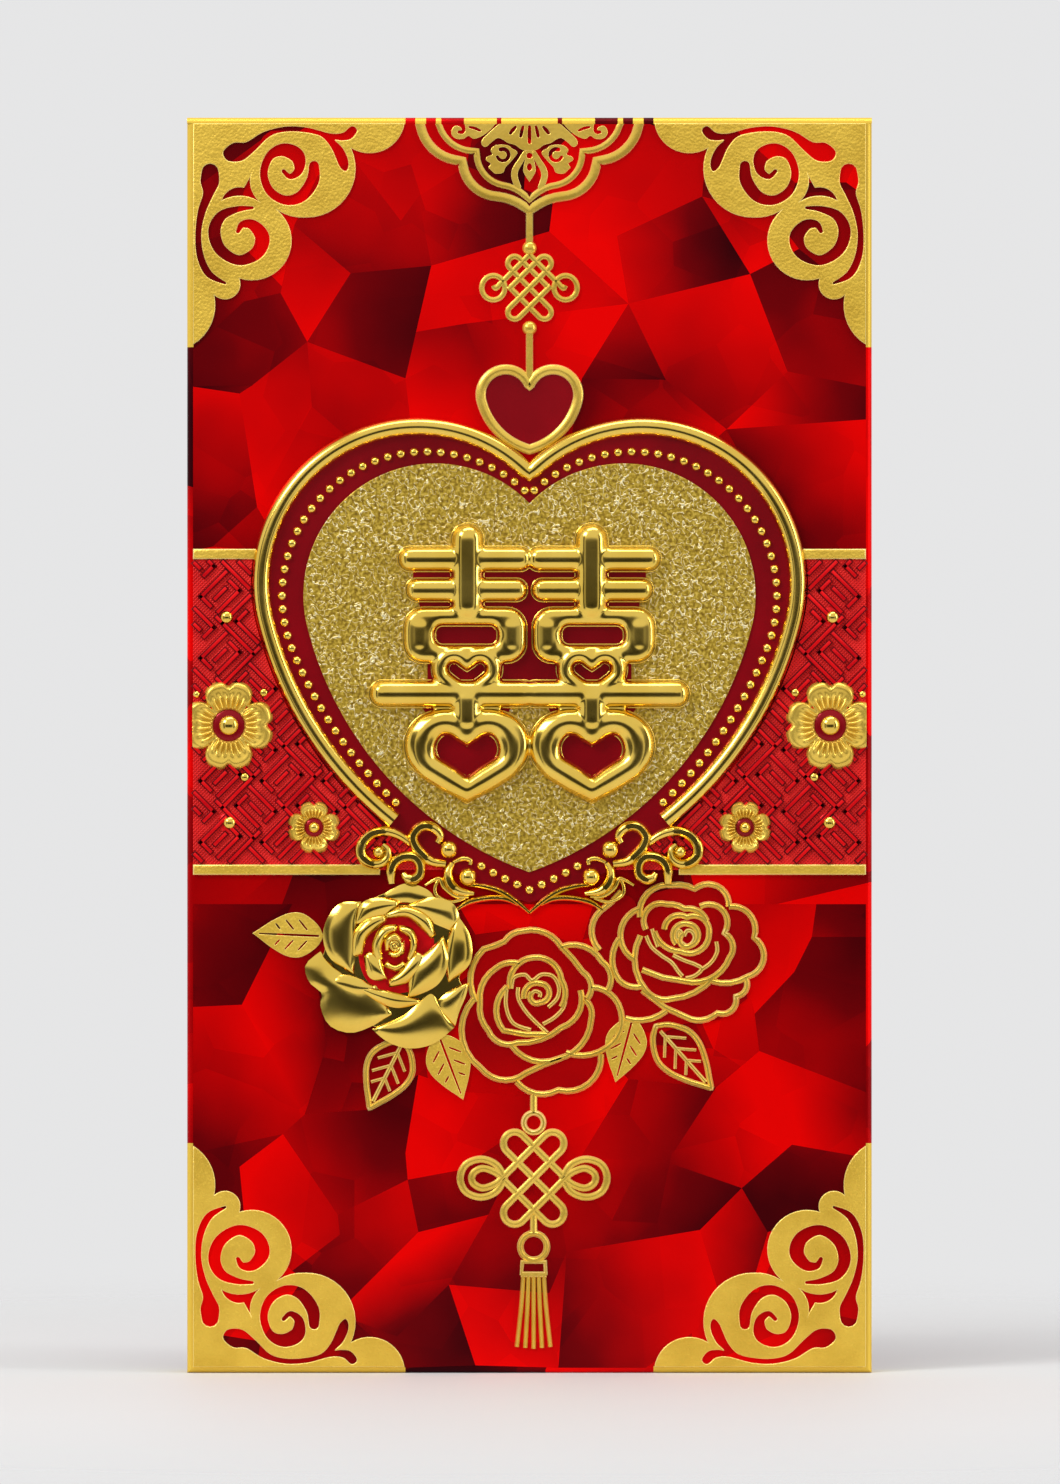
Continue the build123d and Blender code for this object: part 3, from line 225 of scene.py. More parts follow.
# Seam glue: clear films of adhesive that hold the side tab and the bottom tab to the back panel,
# brushed on in slightly uneven streaks.
def clouded(name, scale, detail, dark, light, **values):
    """A finish whose colour drifts between dark and light in clouds, smaller with a larger scale."""
    material, shader = finish(name, **values)
    place = node(material, "TexCoord").outputs["Object"]
    cloud = node(material, "TexNoise", {"Vector": place, "Scale": scale, "Detail": detail}).outputs[0]
    colour = ramp(material, cloud, ((0.3, dark), (0.7, light)))
    material.node_tree.links.new(colour, shader.inputs["Base Color"])
    return material


glue = clouded(
    "clear_glue", scale=240.0, detail=4.0, dark=(0.62, 0.57, 0.45), light=(0.80, 0.76, 0.64),
    Roughness=0.25, IOR=1.48,
)
for name in ("side_seam_glue", "bottom_seam_glue"):
    cover(name, glue)


# Creases of the top closure: scored bends of the same card, which open flat as the lid strip and
# the closing flap are turned back. Each is one strip copied from its solid and fixed where it stands.
def crease(name, film):
    """Strip of card at a crease between two bodies, copied from its quarter-round solid."""
    mesh = card[name].data.copy()
    mesh.materials.clear()
    mesh.materials.append(film)
    bent = bmesh.new()
    bent.from_mesh(mesh)
    bmesh.ops.remove_doubles(bent, verts=bent.verts[:], dist=1e-6)
    for face in bent.faces:
        face.smooth = True
    bent.to_mesh(mesh)
    bent.free()
    mesh.set_sharp_from_angle(angle=math.radians(40))
    strip = bpy.data.objects.new(name + "_bend", mesh)
    bpy.context.scene.collection.objects.link(strip)
    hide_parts(name)
    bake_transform(strip)


LID_BEND_INSIDE = ((None, -0.00246, None), (None, None, 0.16454))
FLAP_BEND_INSIDE = (OPEN, (None, 0.00306, 0.16454))
lid_bend_film = crystal_film("lid_bend_film", LID_BEND_INSIDE, gold_folds=True)
flap_bend_film = crystal_film("flap_bend_film", FLAP_BEND_INSIDE)
crease("lid_crease", lid_bend_film)
crease("flap_crease", flap_bend_film)


# Face film: the part of the printed film that lies on the flat front, with its large crystal facets.
# Each facet's colour carries painted light on one side that fades into painted shade; the film is
# laminated to the front panel.
MM = 0.001
FACE = 0.0029
FILM_HEIGHT = 0.03


def on_face(mesh, height):
    """Lays a flat mesh in millimetres, x right and y up, on the face, its middle plane at height."""
    mesh.transform(
        Matrix(((MM, 0, 0, 0), (0, 0, -MM, -FACE - height * MM), (0, MM, 0, 0), (0, 0, 0, 1)))
    )


def made_mesh(name, shape):
    """Mesh of an edited shape, which is used up."""
    mesh = bpy.data.meshes.new(name)
    shape.to_mesh(mesh)
    shape.free()
    return mesh


def put(name, mesh, material, slot, *replaced, angle=35.0, edge=None, slope=0.75):
    """Fixes a finished mesh to the pocket in place of its solids.

    The sides that slope away from the front by more than slope take the edge material, which is a
    painted highlight on the gold and a painted shade on the fret ribs.
    """
    mesh.materials.clear()
    mesh.materials.append(material)
    if edge:
        mesh.materials.append(edge)
    for face in mesh.polygons:
        face.use_smooth = True
        face.material_index = 1 if edge and face.normal.y > -slope else 0
    mesh.set_sharp_from_angle(angle=math.radians(angle))
    piece = bpy.data.objects.new(name, mesh)
    bpy.context.scene.collection.objects.link(piece)
    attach(piece, "pocket")
    if replaced:
        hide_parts(*replaced)


# For each facet: tone of its painted light at its bright side, tone of its painted shade at its dark
# side, bearing of the bright side in degrees from the right, and its corners.
FACETS = (
    (0.86, 0.58, 160, ((-14.9, 136.8), (-8.3, 137.9), (13.0, 140.5), (2.6, 150.0), (-12.9, 145.5))),
    (0.98, 0.42, 10, ((-8.3, 137.9), (-4.8, 128.2), (-0.2, 119.0), (5.5, 124.7), (6.9, 130.7),
      (13.0, 140.5))),
    (0.92, 0.36, 225, ((-16.3, 130.7), (-15.7, 125.6), (-8.3, 119.0), (-0.2, 119.0), (-4.8, 128.2),
      (-8.3, 137.9), (-14.9, 136.8))),
    (0.62, 0.06, 170, ((-14.6, 154.6), (-12.9, 145.5), (2.6, 150.0), (3.1, 154.0), (-8.3, 158.6))),
    (0.74, 0.5, 200, ((-22.9, 159.2), (-16.9, 151.4), (-14.6, 154.6), (-8.3, 158.6), (-7.1, 164.1),
      (-23.2, 164.1))),
    (0.7, 0.34, 80, ((-27.8, 157.4), (-30.9, 150.8), (-23.5, 144.5), (-12.9, 145.5), (-14.6, 154.6),
      (-16.9, 151.4), (-22.9, 159.2))),
    (0.92, 0.52, 215, ((3.1, 154.0), (2.6, 150.0), (13.0, 140.5), (11.5, 149.4), (22.7, 154.6),
      (23.3, 161.5), (15.8, 164.1), (6.7, 164.1), (0.9, 158.0))),
    (0.66, 0.1, 190, ((13.0, 140.5), (29.0, 144.4), (22.7, 154.6), (11.5, 149.4))),
    (0.94, 0.6, 270, ((29.0, 144.4), (35.4, 147.7), (32.2, 152.0), (22.7, 154.6))),
    (0.94, 0.44, 70, ((17.9, 130.5), (25.9, 124.0), (33.9, 131.6), (29.0, 144.4), (13.0, 140.5))),
    (0.52, 0.16, 100, ((6.9, 130.7), (17.9, 130.5), (13.0, 140.5))),
    (0.8, 0.16, 320, ((5.5, 123.0), (21.0, 119.6), (25.9, 124.0), (17.9, 130.5), (6.9, 130.7))),
    (0.44, 0.12, 250, ((33.9, 131.6), (44.2, 129.6), (44.2, 140.8), (35.4, 147.7), (29.0, 144.4))),
    (0.96, 0.14, 185, ((25.9, 124.0), (44.2, 125.3), (44.2, 129.6), (33.9, 131.6))),
    (0.94, 0.1, 50, ((29.6, 117.3), (35.4, 108.1), (44.2, 108.1), (44.2, 125.3), (25.9, 124.0))),
    (0.44, 0.1, 200, ((-29.2, 135.5), (-16.3, 130.7), (-12.9, 145.5), (-23.5, 144.5))),
    (0.92, 0.5, 260, ((-32.7, 141.9), (-29.2, 135.5), (-23.5, 144.5), (-30.9, 150.8))),
    (0.4, 0.12, 20, ((-44.2, 129.6), (-36.4, 129.8), (-29.2, 135.5), (-32.7, 141.9), (-37.5, 140.8),
      (-44.2, 134.5))),
    (0.94, 0.52, 240, ((-38.1, 128.7), (-35.8, 113.8), (-28.6, 127.0), (-29.2, 135.5), (-36.4, 129.8))),
    (0.72, 0.46, 60, ((-28.6, 127.0), (-22.0, 121.3), (-15.7, 125.6), (-16.3, 130.7), (-26.6, 134.5),
      (-29.2, 135.5))),
    (0.96, 0.56, 225, ((-35.8, 113.8), (-33.5, 109.8), (-22.0, 121.3), (-28.6, 127.0))),
    (0.8, 0.1, 70, ((-44.2, 108.1), (-41.6, 108.6), (-35.8, 113.8), (-38.1, 128.7), (-44.2, 129.6))),
    (0.56, 0.36, 90, ((-35.2, 108.1), (-33.5, 109.8), (-35.8, 113.8), (-41.6, 108.6))),
    (0.36, 0.08, 180, ((-44.2, 48.1), (-37.8, 48.4), (-34.1, 55.8), (-31.2, 61.6), (-44.2, 61.6))),
    (0.96, 0.3, 190, ((-29.5, 34.0), (-26.6, 43.2), (-28.4, 54.7), (-34.1, 55.8), (-37.8, 48.4))),
    (0.9, 0.24, 60, ((-44.2, 28.9), (-32.4, 31.4), (-29.5, 34.0), (-37.8, 48.4), (-44.2, 48.1))),
    (0.5, 0.08, 215, ((-32.4, 31.4), (-25.2, 20.8), (-16.0, 25.4), (-16.3, 28.9), (-14.6, 39.2),
      (-20.9, 34.6), (-29.5, 34.0))),
    (0.96, 0.55, 160, ((-37.5, 20.8), (-31.2, 13.4), (-24.9, 18.2), (-25.2, 20.8), (-32.4, 31.4),
      (-38.1, 27.1))),
    (0.36, 0.14, 30, ((-44.2, 22.5), (-41.6, 22.0), (-37.5, 20.8), (-38.1, 27.1), (-32.4, 31.4),
      (-44.2, 28.9))),
    (0.66, 0.22, 60, ((-24.9, 18.2), (-31.2, 13.4), (-23.8, 9.3), (-14.6, 18.5), (-16.0, 25.4),
      (-25.2, 20.8))),
    (0.98, 0.2, 120, ((-23.2, 7.0), (-17.4, 4.8), (-10.6, 11.6), (-5.4, 20.8), (-14.6, 18.5),
      (-23.8, 9.3))),
    (0.96, 0.5, 190, ((-16.3, 28.9), (-16.0, 25.4), (-9.4, 26.6), (-2.5, 31.2), (0.9, 36.3), (-8.3, 36.9),
      (-14.6, 39.2))),
    (0.52, 0.2, 60, ((-14.6, 18.5), (-5.4, 20.8), (-3.7, 24.3), (-2.5, 31.2), (-9.4, 26.6), (-16.0, 25.4))),
    (0.98, 0.44, 30, ((-2.5, 31.2), (-3.7, 24.3), (3.8, 22.5), (6.7, 28.3), (13.0, 38.6), (10.1, 41.5),
      (0.9, 36.3))),
    (0.62, 0.26, 200, ((6.7, 28.3), (18.1, 27.7), (24.5, 37.5), (13.0, 38.6))),
    (0.98, 0.4, 20, ((18.1, 27.7), (27.9, 24.3), (34.5, 30.0), (30.2, 42.3), (24.5, 37.5))),
    (0.66, 0.14, 130, ((3.8, 22.5), (4.9, 15.9), (22.4, 18.8), (27.9, 24.3), (18.1, 27.7), (6.7, 28.3))),
    (0.9, 0.12, 30, ((3.8, 0.7), (15.3, 0.7), (22.2, 5.9), (24.7, 11.1), (22.4, 18.8), (4.9, 15.9))),
    (0.6, 0.26, 100, ((-10.6, 11.6), (2.6, 10.5), (4.9, 15.9), (3.8, 22.5), (-3.7, 24.3), (-5.4, 20.8))),
    (0.94, 0.4, 225, ((-7.1, 1.0), (3.8, 0.7), (4.9, 15.9), (2.6, 10.5), (-10.6, 11.6))),
    (0.4, 0.14, 200, ((-16.3, 0.7), (-7.1, 1.0), (-10.6, 11.6), (-17.4, 4.8), (-23.2, 7.0))),
    (0.96, 0.55, 300, ((29.6, 47.2), (34.8, 52.7), (37.1, 57.3), (37.7, 61.6), (26.2, 61.6))),
    (0.4, 0.1, 250, ((37.1, 57.3), (44.2, 57.3), (44.2, 61.6), (37.7, 61.6))),
    (0.46, 0.12, 210, ((29.6, 47.2), (30.2, 42.3), (44.2, 36.9), (44.2, 57.3), (37.1, 57.3), (34.8, 52.7))),
    (0.92, 0.4, 200, ((34.5, 30.0), (44.2, 28.3), (44.2, 36.9), (30.2, 42.3))),
    (0.34, 0.1, 60, ((27.9, 24.3), (31.3, 18.5), (37.1, 20.8), (40.5, 22.0), (44.2, 28.3), (34.5, 30.0))),
    (0.86, 0.34, 160, ((24.7, 11.1), (29.6, 12.8), (31.3, 18.5), (27.9, 24.3), (22.4, 18.8))),
    (0.94, 0.62, 90, ((-7.1, 57.6), (0.9, 58.7), (6.7, 55.8), (8.4, 61.6), (-9.4, 61.6))),
)
film = bmesh.new()
tone_layer = film.loops.layers.float.new("tone")
for bright, dark, bearing, outline in FACETS:
    facet = film.faces.new([film.verts.new((x, z, 0.0)) for x, z in outline])
    aim = math.cos(math.radians(bearing)), math.sin(math.radians(bearing))
    reach = [x * aim[0] + z * aim[1] for x, z in outline]
    for loop, along in zip(facet.loops, reach):
        share = (along - min(reach)) / (max(reach) - min(reach))
        loop[tone_layer] = dark + share * (bright - dark)
film.normal_update()
bmesh.ops.solidify(film, geom=film.faces[:], thickness=0.02)
bmesh.ops.recalc_face_normals(film, faces=film.faces[:])
film_mesh = made_mesh("face_film", film)
on_face(film_mesh, height=FILM_HEIGHT)

face_film, film_shader = finish("face_film", Metallic=0.3, Roughness=0.3, IOR=1.45, Specular_IOR_Level=0.08)
film_place = node(face_film, "TexCoord").outputs["Object"]
# Soft painted glows and shade, and small facets with their own painted slopes of light, over the facet tones.
film_glow_shade = node(face_film, "TexNoise", {"Vector": film_place, "Scale": 62.0, "Detail": 2.0}).outputs[0]
film_small = facet_tone(face_film, film_place, size=0.009, reach=0.7)
film_tone = node(face_film, "Attribute", attribute_name="tone").outputs["Fac"]
for drift, weight in ((film_glow_shade, 0.55), (film_small, 0.07)):
    off_mean = math_of(face_film, "SUBTRACT", drift, 0.5)
    film_tone = math_of(face_film, "MULTIPLY_ADD", off_mean, weight, film_tone)
face_film.node_tree.links.new(film_red(face_film, film_tone), film_shader.inputs["Base Color"])
put("face_film", film_mesh, face_film, "red_film_card")


# Corner scrolls: satin gold foil stamped on embossed card in the four corners, an openwork of
# scalloped lobes with volutes, swashes and a leaf cut out, so that the red film shows through.
HALF_WIDTH = 45.0
TOP = 165.0


def arc_run(points, step=9.0):
    """Points along a run of arcs, each through three of the given points."""
    run = []
    for start in range(0, len(points) - 1, 2):
        (ax, ay), (bx, by), (cx, cy) = points[start : start + 3]
        cross = 2 * (ax * (by - cy) + bx * (cy - ay) + cx * (ay - by))
        if abs(cross) < 1e-6:
            run += [(ax, ay), (bx, by)]
            continue
        a2, b2, c2 = ax * ax + ay * ay, bx * bx + by * by, cx * cx + cy * cy
        ox = (a2 * (by - cy) + b2 * (cy - ay) + c2 * (ay - by)) / cross
        oy = (a2 * (cx - bx) + b2 * (ax - cx) + c2 * (bx - ax)) / cross
        radius = math.hypot(ax - ox, ay - oy)
        begin = math.atan2(ay - oy, ax - ox)
        sweep = (math.atan2(cy - oy, cx - ox) - begin) % math.tau
        middle = (math.atan2(by - oy, bx - ox) - begin) % math.tau
        if middle > sweep:
            sweep -= math.tau
        count = max(2, math.ceil(abs(math.degrees(sweep)) / step))
        for turn in range(count):
            angle = begin + sweep * turn / count
            run.append((ox + radius * math.cos(angle), oy + radius * math.sin(angle)))
    return run + [tuple(points[-1])]


def smooth_run(points, closed=False, steps=6):
    """Points along a smooth line through the given points, of any number of coordinates."""
    count = len(points)
    run = []
    for span in range(count if closed else count - 1):
        ends = [span - 1, span, span + 1, span + 2]
        if closed:
            ends = [end % count for end in ends]
        else:
            ends = [min(max(end, 0), count - 1) for end in ends]
        p, q, r, s = (points[end] for end in ends)
        for step in range(steps):
            t = step / steps
            run.append(
                tuple(
                    b + 0.5 * t * (c - a + t * (2 * a - 5 * b + 4 * c - d + t * (3 * (b - c) + d - a)))
                    for a, b, c, d in zip(p, q, r, s)
                )
            )
    return run if closed else run + [tuple(points[-1])]


def stroke(points, cap_steps=6):
    """Closed outline of a smooth stroke through (x, y, width) points, with round ends."""
    line = smooth_run(points)
    left, right = [], []
    for index, (x, y, width) in enumerate(line):
        ahead = line[min(index + 1, len(line) - 1)]
        behind = line[max(index - 1, 0)]
        dx, dy = ahead[0] - behind[0], ahead[1] - behind[1]
        length = math.hypot(dx, dy)
        nx, ny = -dy / length * width / 2, dx / length * width / 2
        left.append((x + nx, y + ny))
        right.append((x - nx, y - ny))
    outline = []
    for side, opposite in ((left, right[-1]), (right[::-1], left[0])):
        outline += side
        mx, my = (side[-1][0] + opposite[0]) / 2, (side[-1][1] + opposite[1]) / 2
        rx, ry = side[-1][0] - mx, side[-1][1] - my
        for turn in range(1, cap_steps):
            cos, sin = math.cos(-math.pi * turn / cap_steps), math.sin(-math.pi * turn / cap_steps)
            outline.append((mx + rx * cos - ry * sin, my + rx * sin + ry * cos))
    return outline


def curve_mesh(curve):
    """Mesh of a curve, which is used up."""
    holder = bpy.data.objects.new(curve.name, curve)
    mesh = bpy.data.meshes.new_from_object(holder)
    bpy.data.objects.remove(holder)
    bpy.data.curves.remove(curve)
    return mesh


def flat_relief(name, outlines, base, top, bevel, swell=0.0):
    """Mesh of a flat raised plate cut to closed outlines in millimetres, the inner ones as holes.

    Its edges are rounded by bevel, and all outlines are moved outwards by swell.
    """
    curve = bpy.data.curves.new(name, "CURVE")
    curve.dimensions = "2D"
    curve.fill_mode = "BOTH"
    curve.extrude = (top - base) / 2 - bevel
    curve.bevel_depth = bevel
    curve.bevel_resolution = 2 if bevel < 0.5 else 6
    curve.offset = swell - bevel
    for outline in outlines:
        spline = curve.splines.new("POLY")
        spline.points.add(len(outline) - 1)
        for point, (x, y) in zip(spline.points, outline):
            point.co = (x, y, 0.0, 1.0)
        spline.use_cyclic_u = True
    mesh = curve_mesh(curve)
    on_face(mesh, height=(base + top) / 2)
    return mesh


def gold_foil(name, colour, dark, metal, roughness, grain, depth):
    """Stamped gold foil, more or less metallic, with a fine grain of the given size and depth in metres."""
    material, shader = finish(name, Metallic=metal)
    place = node(material, "TexCoord").outputs["Object"]
    cloud = node(material, "TexNoise", {"Vector": place, "Scale": 190.0, "Detail": 5.0}).outputs[0]
    links = material.node_tree.links
    links.new(ramp(material, cloud, ((0.32, dark), (0.62, colour))), shader.inputs["Base Color"])
    pebble = node(material, "TexVoronoi", {"Vector": place, "Scale": 1.0 / grain}, feature="SMOOTH_F1")
    crease_noise = node(material, "TexNoise", {"Vector": place, "Scale": 0.4 / grain, "Detail": 6.0})
    height = math_of(material, "ADD", pebble.outputs["Distance"], crease_noise.outputs[0])
    bump = node(material, "Bump", {"Height": height, "Strength": 1.0, "Distance": depth})
    links.new(bump.outputs[0], shader.inputs["Normal"])
    worn = scaled(material, cloud, low=roughness - 0.05, high=roughness + 0.08)
    links.new(worn, shader.inputs["Roughness"])
    return material


satin_gold = gold_foil(
    "satin_gold", colour=(0.87, 0.575, 0.062), dark=(0.75, 0.475, 0.042),
    metal=0.4, roughness=0.36, grain=0.00032, depth=0.00008,
)
# Edge gold: a paler copy of the gold, put on sloping sides and bevels as a painted highlight.
edge_highlight_gold = gold_foil(
    "edge_highlight_gold", colour=(1.0, 0.80, 0.27), dark=(0.97, 0.72, 0.19),
    metal=0.35, roughness=0.25, grain=0.0005, depth=0.00001,
)


def satin_plate(name, mesh, slope):
    """Puts a plate of satin gold foil, with a painted highlight on its sloping edges, in place of the solid
    of its name.
    """
    put(name, mesh, satin_gold, "satin_gold_foil", name, edge=edge_highlight_gold, slope=slope)


# One corner, by distance inwards from the side fold and from the level fold.
scroll_outline = arc_run(
    (
        (28.6, 0.8), (25.2, 4.6), (21.6, 4.1), (20.9, 10.6), (15.6, 13.2), (13.6, 13.0), (12.0, 12.3),
        (13.2, 18.6), (6.9, 21.2), (6.4, 23.4), (3.6, 23.4), (3.2, 27.2), (0.8, 29.9),
    )
) + [(0.8, 0.8)]
scroll_holes = [
    smooth_run(
        (
            (4.8, 4.5), (6.1, 3.4), (7.8, 3.3), (10.1, 1.95), (13.0, 1.25), (15.9, 1.4), (18.8, 2.15),
            (20.5, 2.05), (21.5, 1.25), (22.1, 1.35), (22.3, 1.9), (21.5, 2.85), (20.3, 3.05), (19.4, 3.0),
            (20.4, 4.0), (21.1, 5.4), (21.2, 6.5), (20.8, 7.1), (20.1, 6.5), (19.6, 5.4), (18.9, 3.9),
            (17.6, 2.5), (15.3, 1.95), (12.9, 1.9), (10.9, 2.5), (9.1, 4.2), (7.6, 5.5), (6.4, 5.85),
            (5.2, 5.6),
        ),
        closed=True,
        steps=4,
    ),
    stroke(
        (
            (16.7, 6.4, 1.3), (16.5, 8.4, 1.65), (15.0, 10.4, 1.5), (12.9, 10.9, 1.2), (10.9, 9.7, 1.1),
            (10.1, 7.4, 1.0), (10.9, 5.1, 1.1), (12.7, 4.3, 1.7), (14.5, 5.1, 1.9), (14.7, 6.9, 1.2),
            (13.6, 7.8, 0.7), (12.7, 7.1, 0.5),
        )
    ),
    stroke(
        (
            (8.6, 11.9, 0.35), (6.6, 12.1, 0.8), (4.5, 13.0, 1.3), (3.6, 15.0, 1.6), (4.4, 17.4, 1.5),
            (6.8, 18.8, 1.3), (9.2, 17.8, 1.7), (9.9, 15.8, 1.9), (8.7, 14.2, 1.4), (7.3, 14.1, 0.9),
            (6.7, 15.0, 0.5),
        )
    ),
    arc_run(
        (
            (9.0, 6.2), (8.3, 8.9), (9.4, 11.0), (7.0, 10.3), (4.6, 10.9), (5.6, 9.6), (7.5, 9.3),
            (8.3, 7.9), (9.0, 6.2),
        )
    )[:-1],
    stroke(
        (
            (3.05, 7.2, 2.2), (3.0, 8.6, 2.4), (2.75, 10.2, 1.3), (1.95, 12.4, 1.0), (1.5, 15.2, 0.75),
            (1.75, 18.2, 0.9), (2.9, 20.6, 0.9), (5.0, 21.8, 0.3),
        )
    ),
]
corner_outlines = []
for side in (-1, 1):
    for edge, way in ((0.0, 1), (TOP, -1)):
        corner_outlines += [
            [(side * (HALF_WIDTH - u), edge + way * v) for u, v in outline]
            for outline in [scroll_outline] + scroll_holes
        ]
corner_mesh = flat_relief("corner_scrolls", corner_outlines, base=0.0, top=0.36, bevel=0.15)
satin_plate("corner_scrolls", corner_mesh, slope=0.95)


# Crown medallion: gold line work stamped under the top edge. Two ogee rails run down to one point,
# round plates of foil cut to a fan, leaves, scrolled leaves, petals and a bud.
LINE_FOOT = -0.03


def wire(name, runs, width, height, base=0.0, steps=3, crown=1.0):
    """Mesh of raised lines along runs of (x, y) or (x, y, share of width) points, in millimetres.

    With a crown of 1 the lines are half round, and with more their tops are flat.
    """
    curve = bpy.data.curves.new(name, "CURVE")
    curve.dimensions = "3D"
    curve.bevel_depth = width / 2
    curve.bevel_resolution = steps
    curve.use_fill_caps = True
    for run in runs:
        closed = len(run) > 2 and math.dist(run[0][:2], run[-1][:2]) < 1e-6
        spots = run[:-1] if closed else run
        spline = curve.splines.new("POLY")
        spline.points.add(len(spots) - 1)
        for point, spot in zip(spline.points, spots):
            point.co = (spot[0], spot[1], 0.0, 1.0)
            point.radius = spot[2] if len(spot) > 2 else 1.0
        spline.use_cyclic_u = closed
    mesh = curve_mesh(curve)
    for vertex in mesh.vertices:
        vertex.co.z = min(max(vertex.co.z, LINE_FOOT) * crown * height * 2 / width, height)
    on_face(mesh, height=base)
    return mesh


def joined(name, *meshes):
    """One mesh of several, which are used up."""
    whole = bmesh.new()
    for mesh in meshes:
        whole.from_mesh(mesh)
        bpy.data.meshes.remove(mesh)
    return made_mesh(name, whole)


def bridged(run):
    """One run from a run that ends on the middle of the face and its mirror image."""
    return list(run) + [(-spot[0], *spot[1:]) for spot in run[-2::-1]]


def both_sides(runs):
    """The runs and their mirror images about the middle of the face."""
    return [list(run) for run in runs] + [[(-spot[0], *spot[1:]) for spot in run] for run in runs]


def ring_run(x, y, radius, stretch=1.0, count=28):
    """Closed run round a circle or an ellipse that is stretched along x."""
    run = []
    for turn in range(count):
        angle = math.tau * turn / count
        run.append((x + stretch * radius * math.cos(angle), y + radius * math.sin(angle)))
    return run + [run[0]]


bright_gold = gold_foil(
    "bright_gold", colour=(0.90, 0.61, 0.095), dark=(0.78, 0.50, 0.06),
    metal=0.6, roughness=0.24, grain=0.0005, depth=0.00001,
)


def line_work(name, mesh):
    """Puts a piece of bright gold line work, with a painted highlight on its sloping sides, in place of the
    solid of its name.
    """
    put(name, mesh, bright_gold, "satin_gold_foil", name, edge=edge_highlight_gold)


# Right halves of the rails and plates, by distance from the middle and below the top edge.
OUTER_RAIL = ((14.4, 0.4), (12.4, 4.4), (8.8, 5.7), (7.6, 8.8), (4.3, 10.4), (2.0, 11.0), (0, 12.3))
INNER_RAIL = ((12.0, 0.4), (10.0, 3.6), (6.9, 4.4), (6.0, 7.4), (3.6, 8.9), (1.7, 9.5), (0, 10.9))
FAN = (
    (3.7, 0.6), (4.4, 1.2), (5.4, 2.1), (6.25, 3.0), (6.25, 3.65), (5.7, 3.9), (5.0, 3.3), (4.2, 2.75),
    (3.5, 2.95), (2.8, 3.4), (1.9, 3.65), (1.3, 4.1), (0.8, 4.35),
)
TOP_LEAF = (
    (4.3, 0.6), (5.0, 1.5), (6.1, 2.4), (7.3, 2.85), (8.0, 2.45), (8.7, 2.85), (9.7, 2.8), (10.25, 2.2),
    (10.15, 1.5), (9.7, 1.12), (9.05, 1.3), (8.9, 1.7), (9.35, 1.75), (9.4, 2.1), (8.8, 2.2), (8.4, 1.7),
    (8.55, 0.6),
)
LEAF_SLOT = ((6.5, 1.75, 0.3), (7.2, 1.45, 0.4), (7.85, 1.3, 0.3))
SCROLL_LEAF = (
    (1.65, 4.85), (1.75, 4.4), (2.3, 4.1), (2.7, 3.75), (3.6, 3.6), (4.6, 3.75), (5.1, 4.3), (4.9, 4.9),
    (5.6, 5.2), (5.7, 5.65), (5.1, 6.1), (5.4, 6.6), (5.1, 6.9), (4.5, 7.4), (3.5, 7.3), (3.15, 6.6),
    (2.5, 5.9),
)
FAN_SLOTS = (
    ((0.0, 1.25, 0.4), (0.0, 2.2, 0.5), (0.0, 3.3, 0.45)),
    ((0.85, 1.25, 0.35), (1.0, 1.8, 0.45), (1.15, 2.5, 0.4)),
    ((1.85, 1.3, 0.35), (2.2, 1.7, 0.5), (2.5, 2.1, 0.4)),
)
PETAL = ((0.6, 4.7, 0.6), (1.15, 5.7, 0.75), (1.85, 6.9, 0.85), (1.95, 7.9, 0.85), (1.5, 9.2, 0.8))
BUD = ((0.62, 4.35), (0.8, 5.0), (0.62, 5.65), (0.78, 6.5), (0.75, 7.3), (0.0, 8.5))
SCROLL_EYE = (3.5, 4.95)
CURL_RADIUS = 0.76
CURL_STEPS = 9
CURL_START = 20
CURL_TURN = 34
CURL_WIDTH = 0.4
CURL_GROWTH = 0.02
CROWN_TOP = TOP - 0.88
crown_rails = [[bridged(arc_run([(x, TOP - y) for x, y in rail]))] for rail in (OUTER_RAIL, INNER_RAIL)]
fan = bridged(smooth_run(FAN, steps=4) + [(0.0, 4.4)])
fan_slots = [stroke(slot) for slot in FAN_SLOTS]
fan_slots += [[(-x, y) for x, y in slot] for slot in fan_slots[1:]]
curl = []
for turn in range(CURL_STEPS):
    angle = math.radians(CURL_START + CURL_TURN * turn)
    x, y = SCROLL_EYE[0] + CURL_RADIUS * math.cos(angle), SCROLL_EYE[1] + CURL_RADIUS * math.sin(angle)
    curl.append((x, y, CURL_WIDTH + CURL_GROWTH * turn))
bud = bridged(smooth_run(BUD, steps=5))
upper_eye = ring_run(0.0, 5.05, radius=0.38, stretch=1.05)[:-1]
lower_eye = ring_run(0.0, 6.55, radius=0.5, stretch=0.68)[:-1]
scroll_leaf = [smooth_run(SCROLL_LEAF, closed=True, steps=4), stroke(curl)]
top_leaf = [smooth_run(TOP_LEAF, steps=4), stroke(LEAF_SLOT)]
# Each plate stands a little higher or lower than its neighbours, so that no two tops coincide.
plates = [([fan] + fan_slots, 0.36), ([bud, upper_eye, lower_eye], 0.33)]
for side in (-1, 1):
    for outlines, level in ((scroll_leaf, 0.30), (top_leaf, 0.31), ([stroke(PETAL)], 0.345)):
        plates.append(([[(side * x, y) for x, y in outline] for outline in outlines], level))
crown_plates = []
for outlines, level in plates:
    placed = [[(x, TOP - y) for x, y in outline] for outline in outlines]
    crown_plates.append(flat_relief("crown_plate", placed, base=0.0, top=level, bevel=0.08))
medallion = joined(
    "crown_medallion",
    wire("outer_rail", crown_rails[0], width=1.3, height=0.44, crown=1.4),
    wire("inner_rail", crown_rails[1], width=0.85, height=0.38, crown=1.4),
    *crown_plates,
)
for vertex in medallion.vertices:
    vertex.co.z = min(vertex.co.z, CROWN_TOP * MM)
line_work("crown_medallion", medallion)


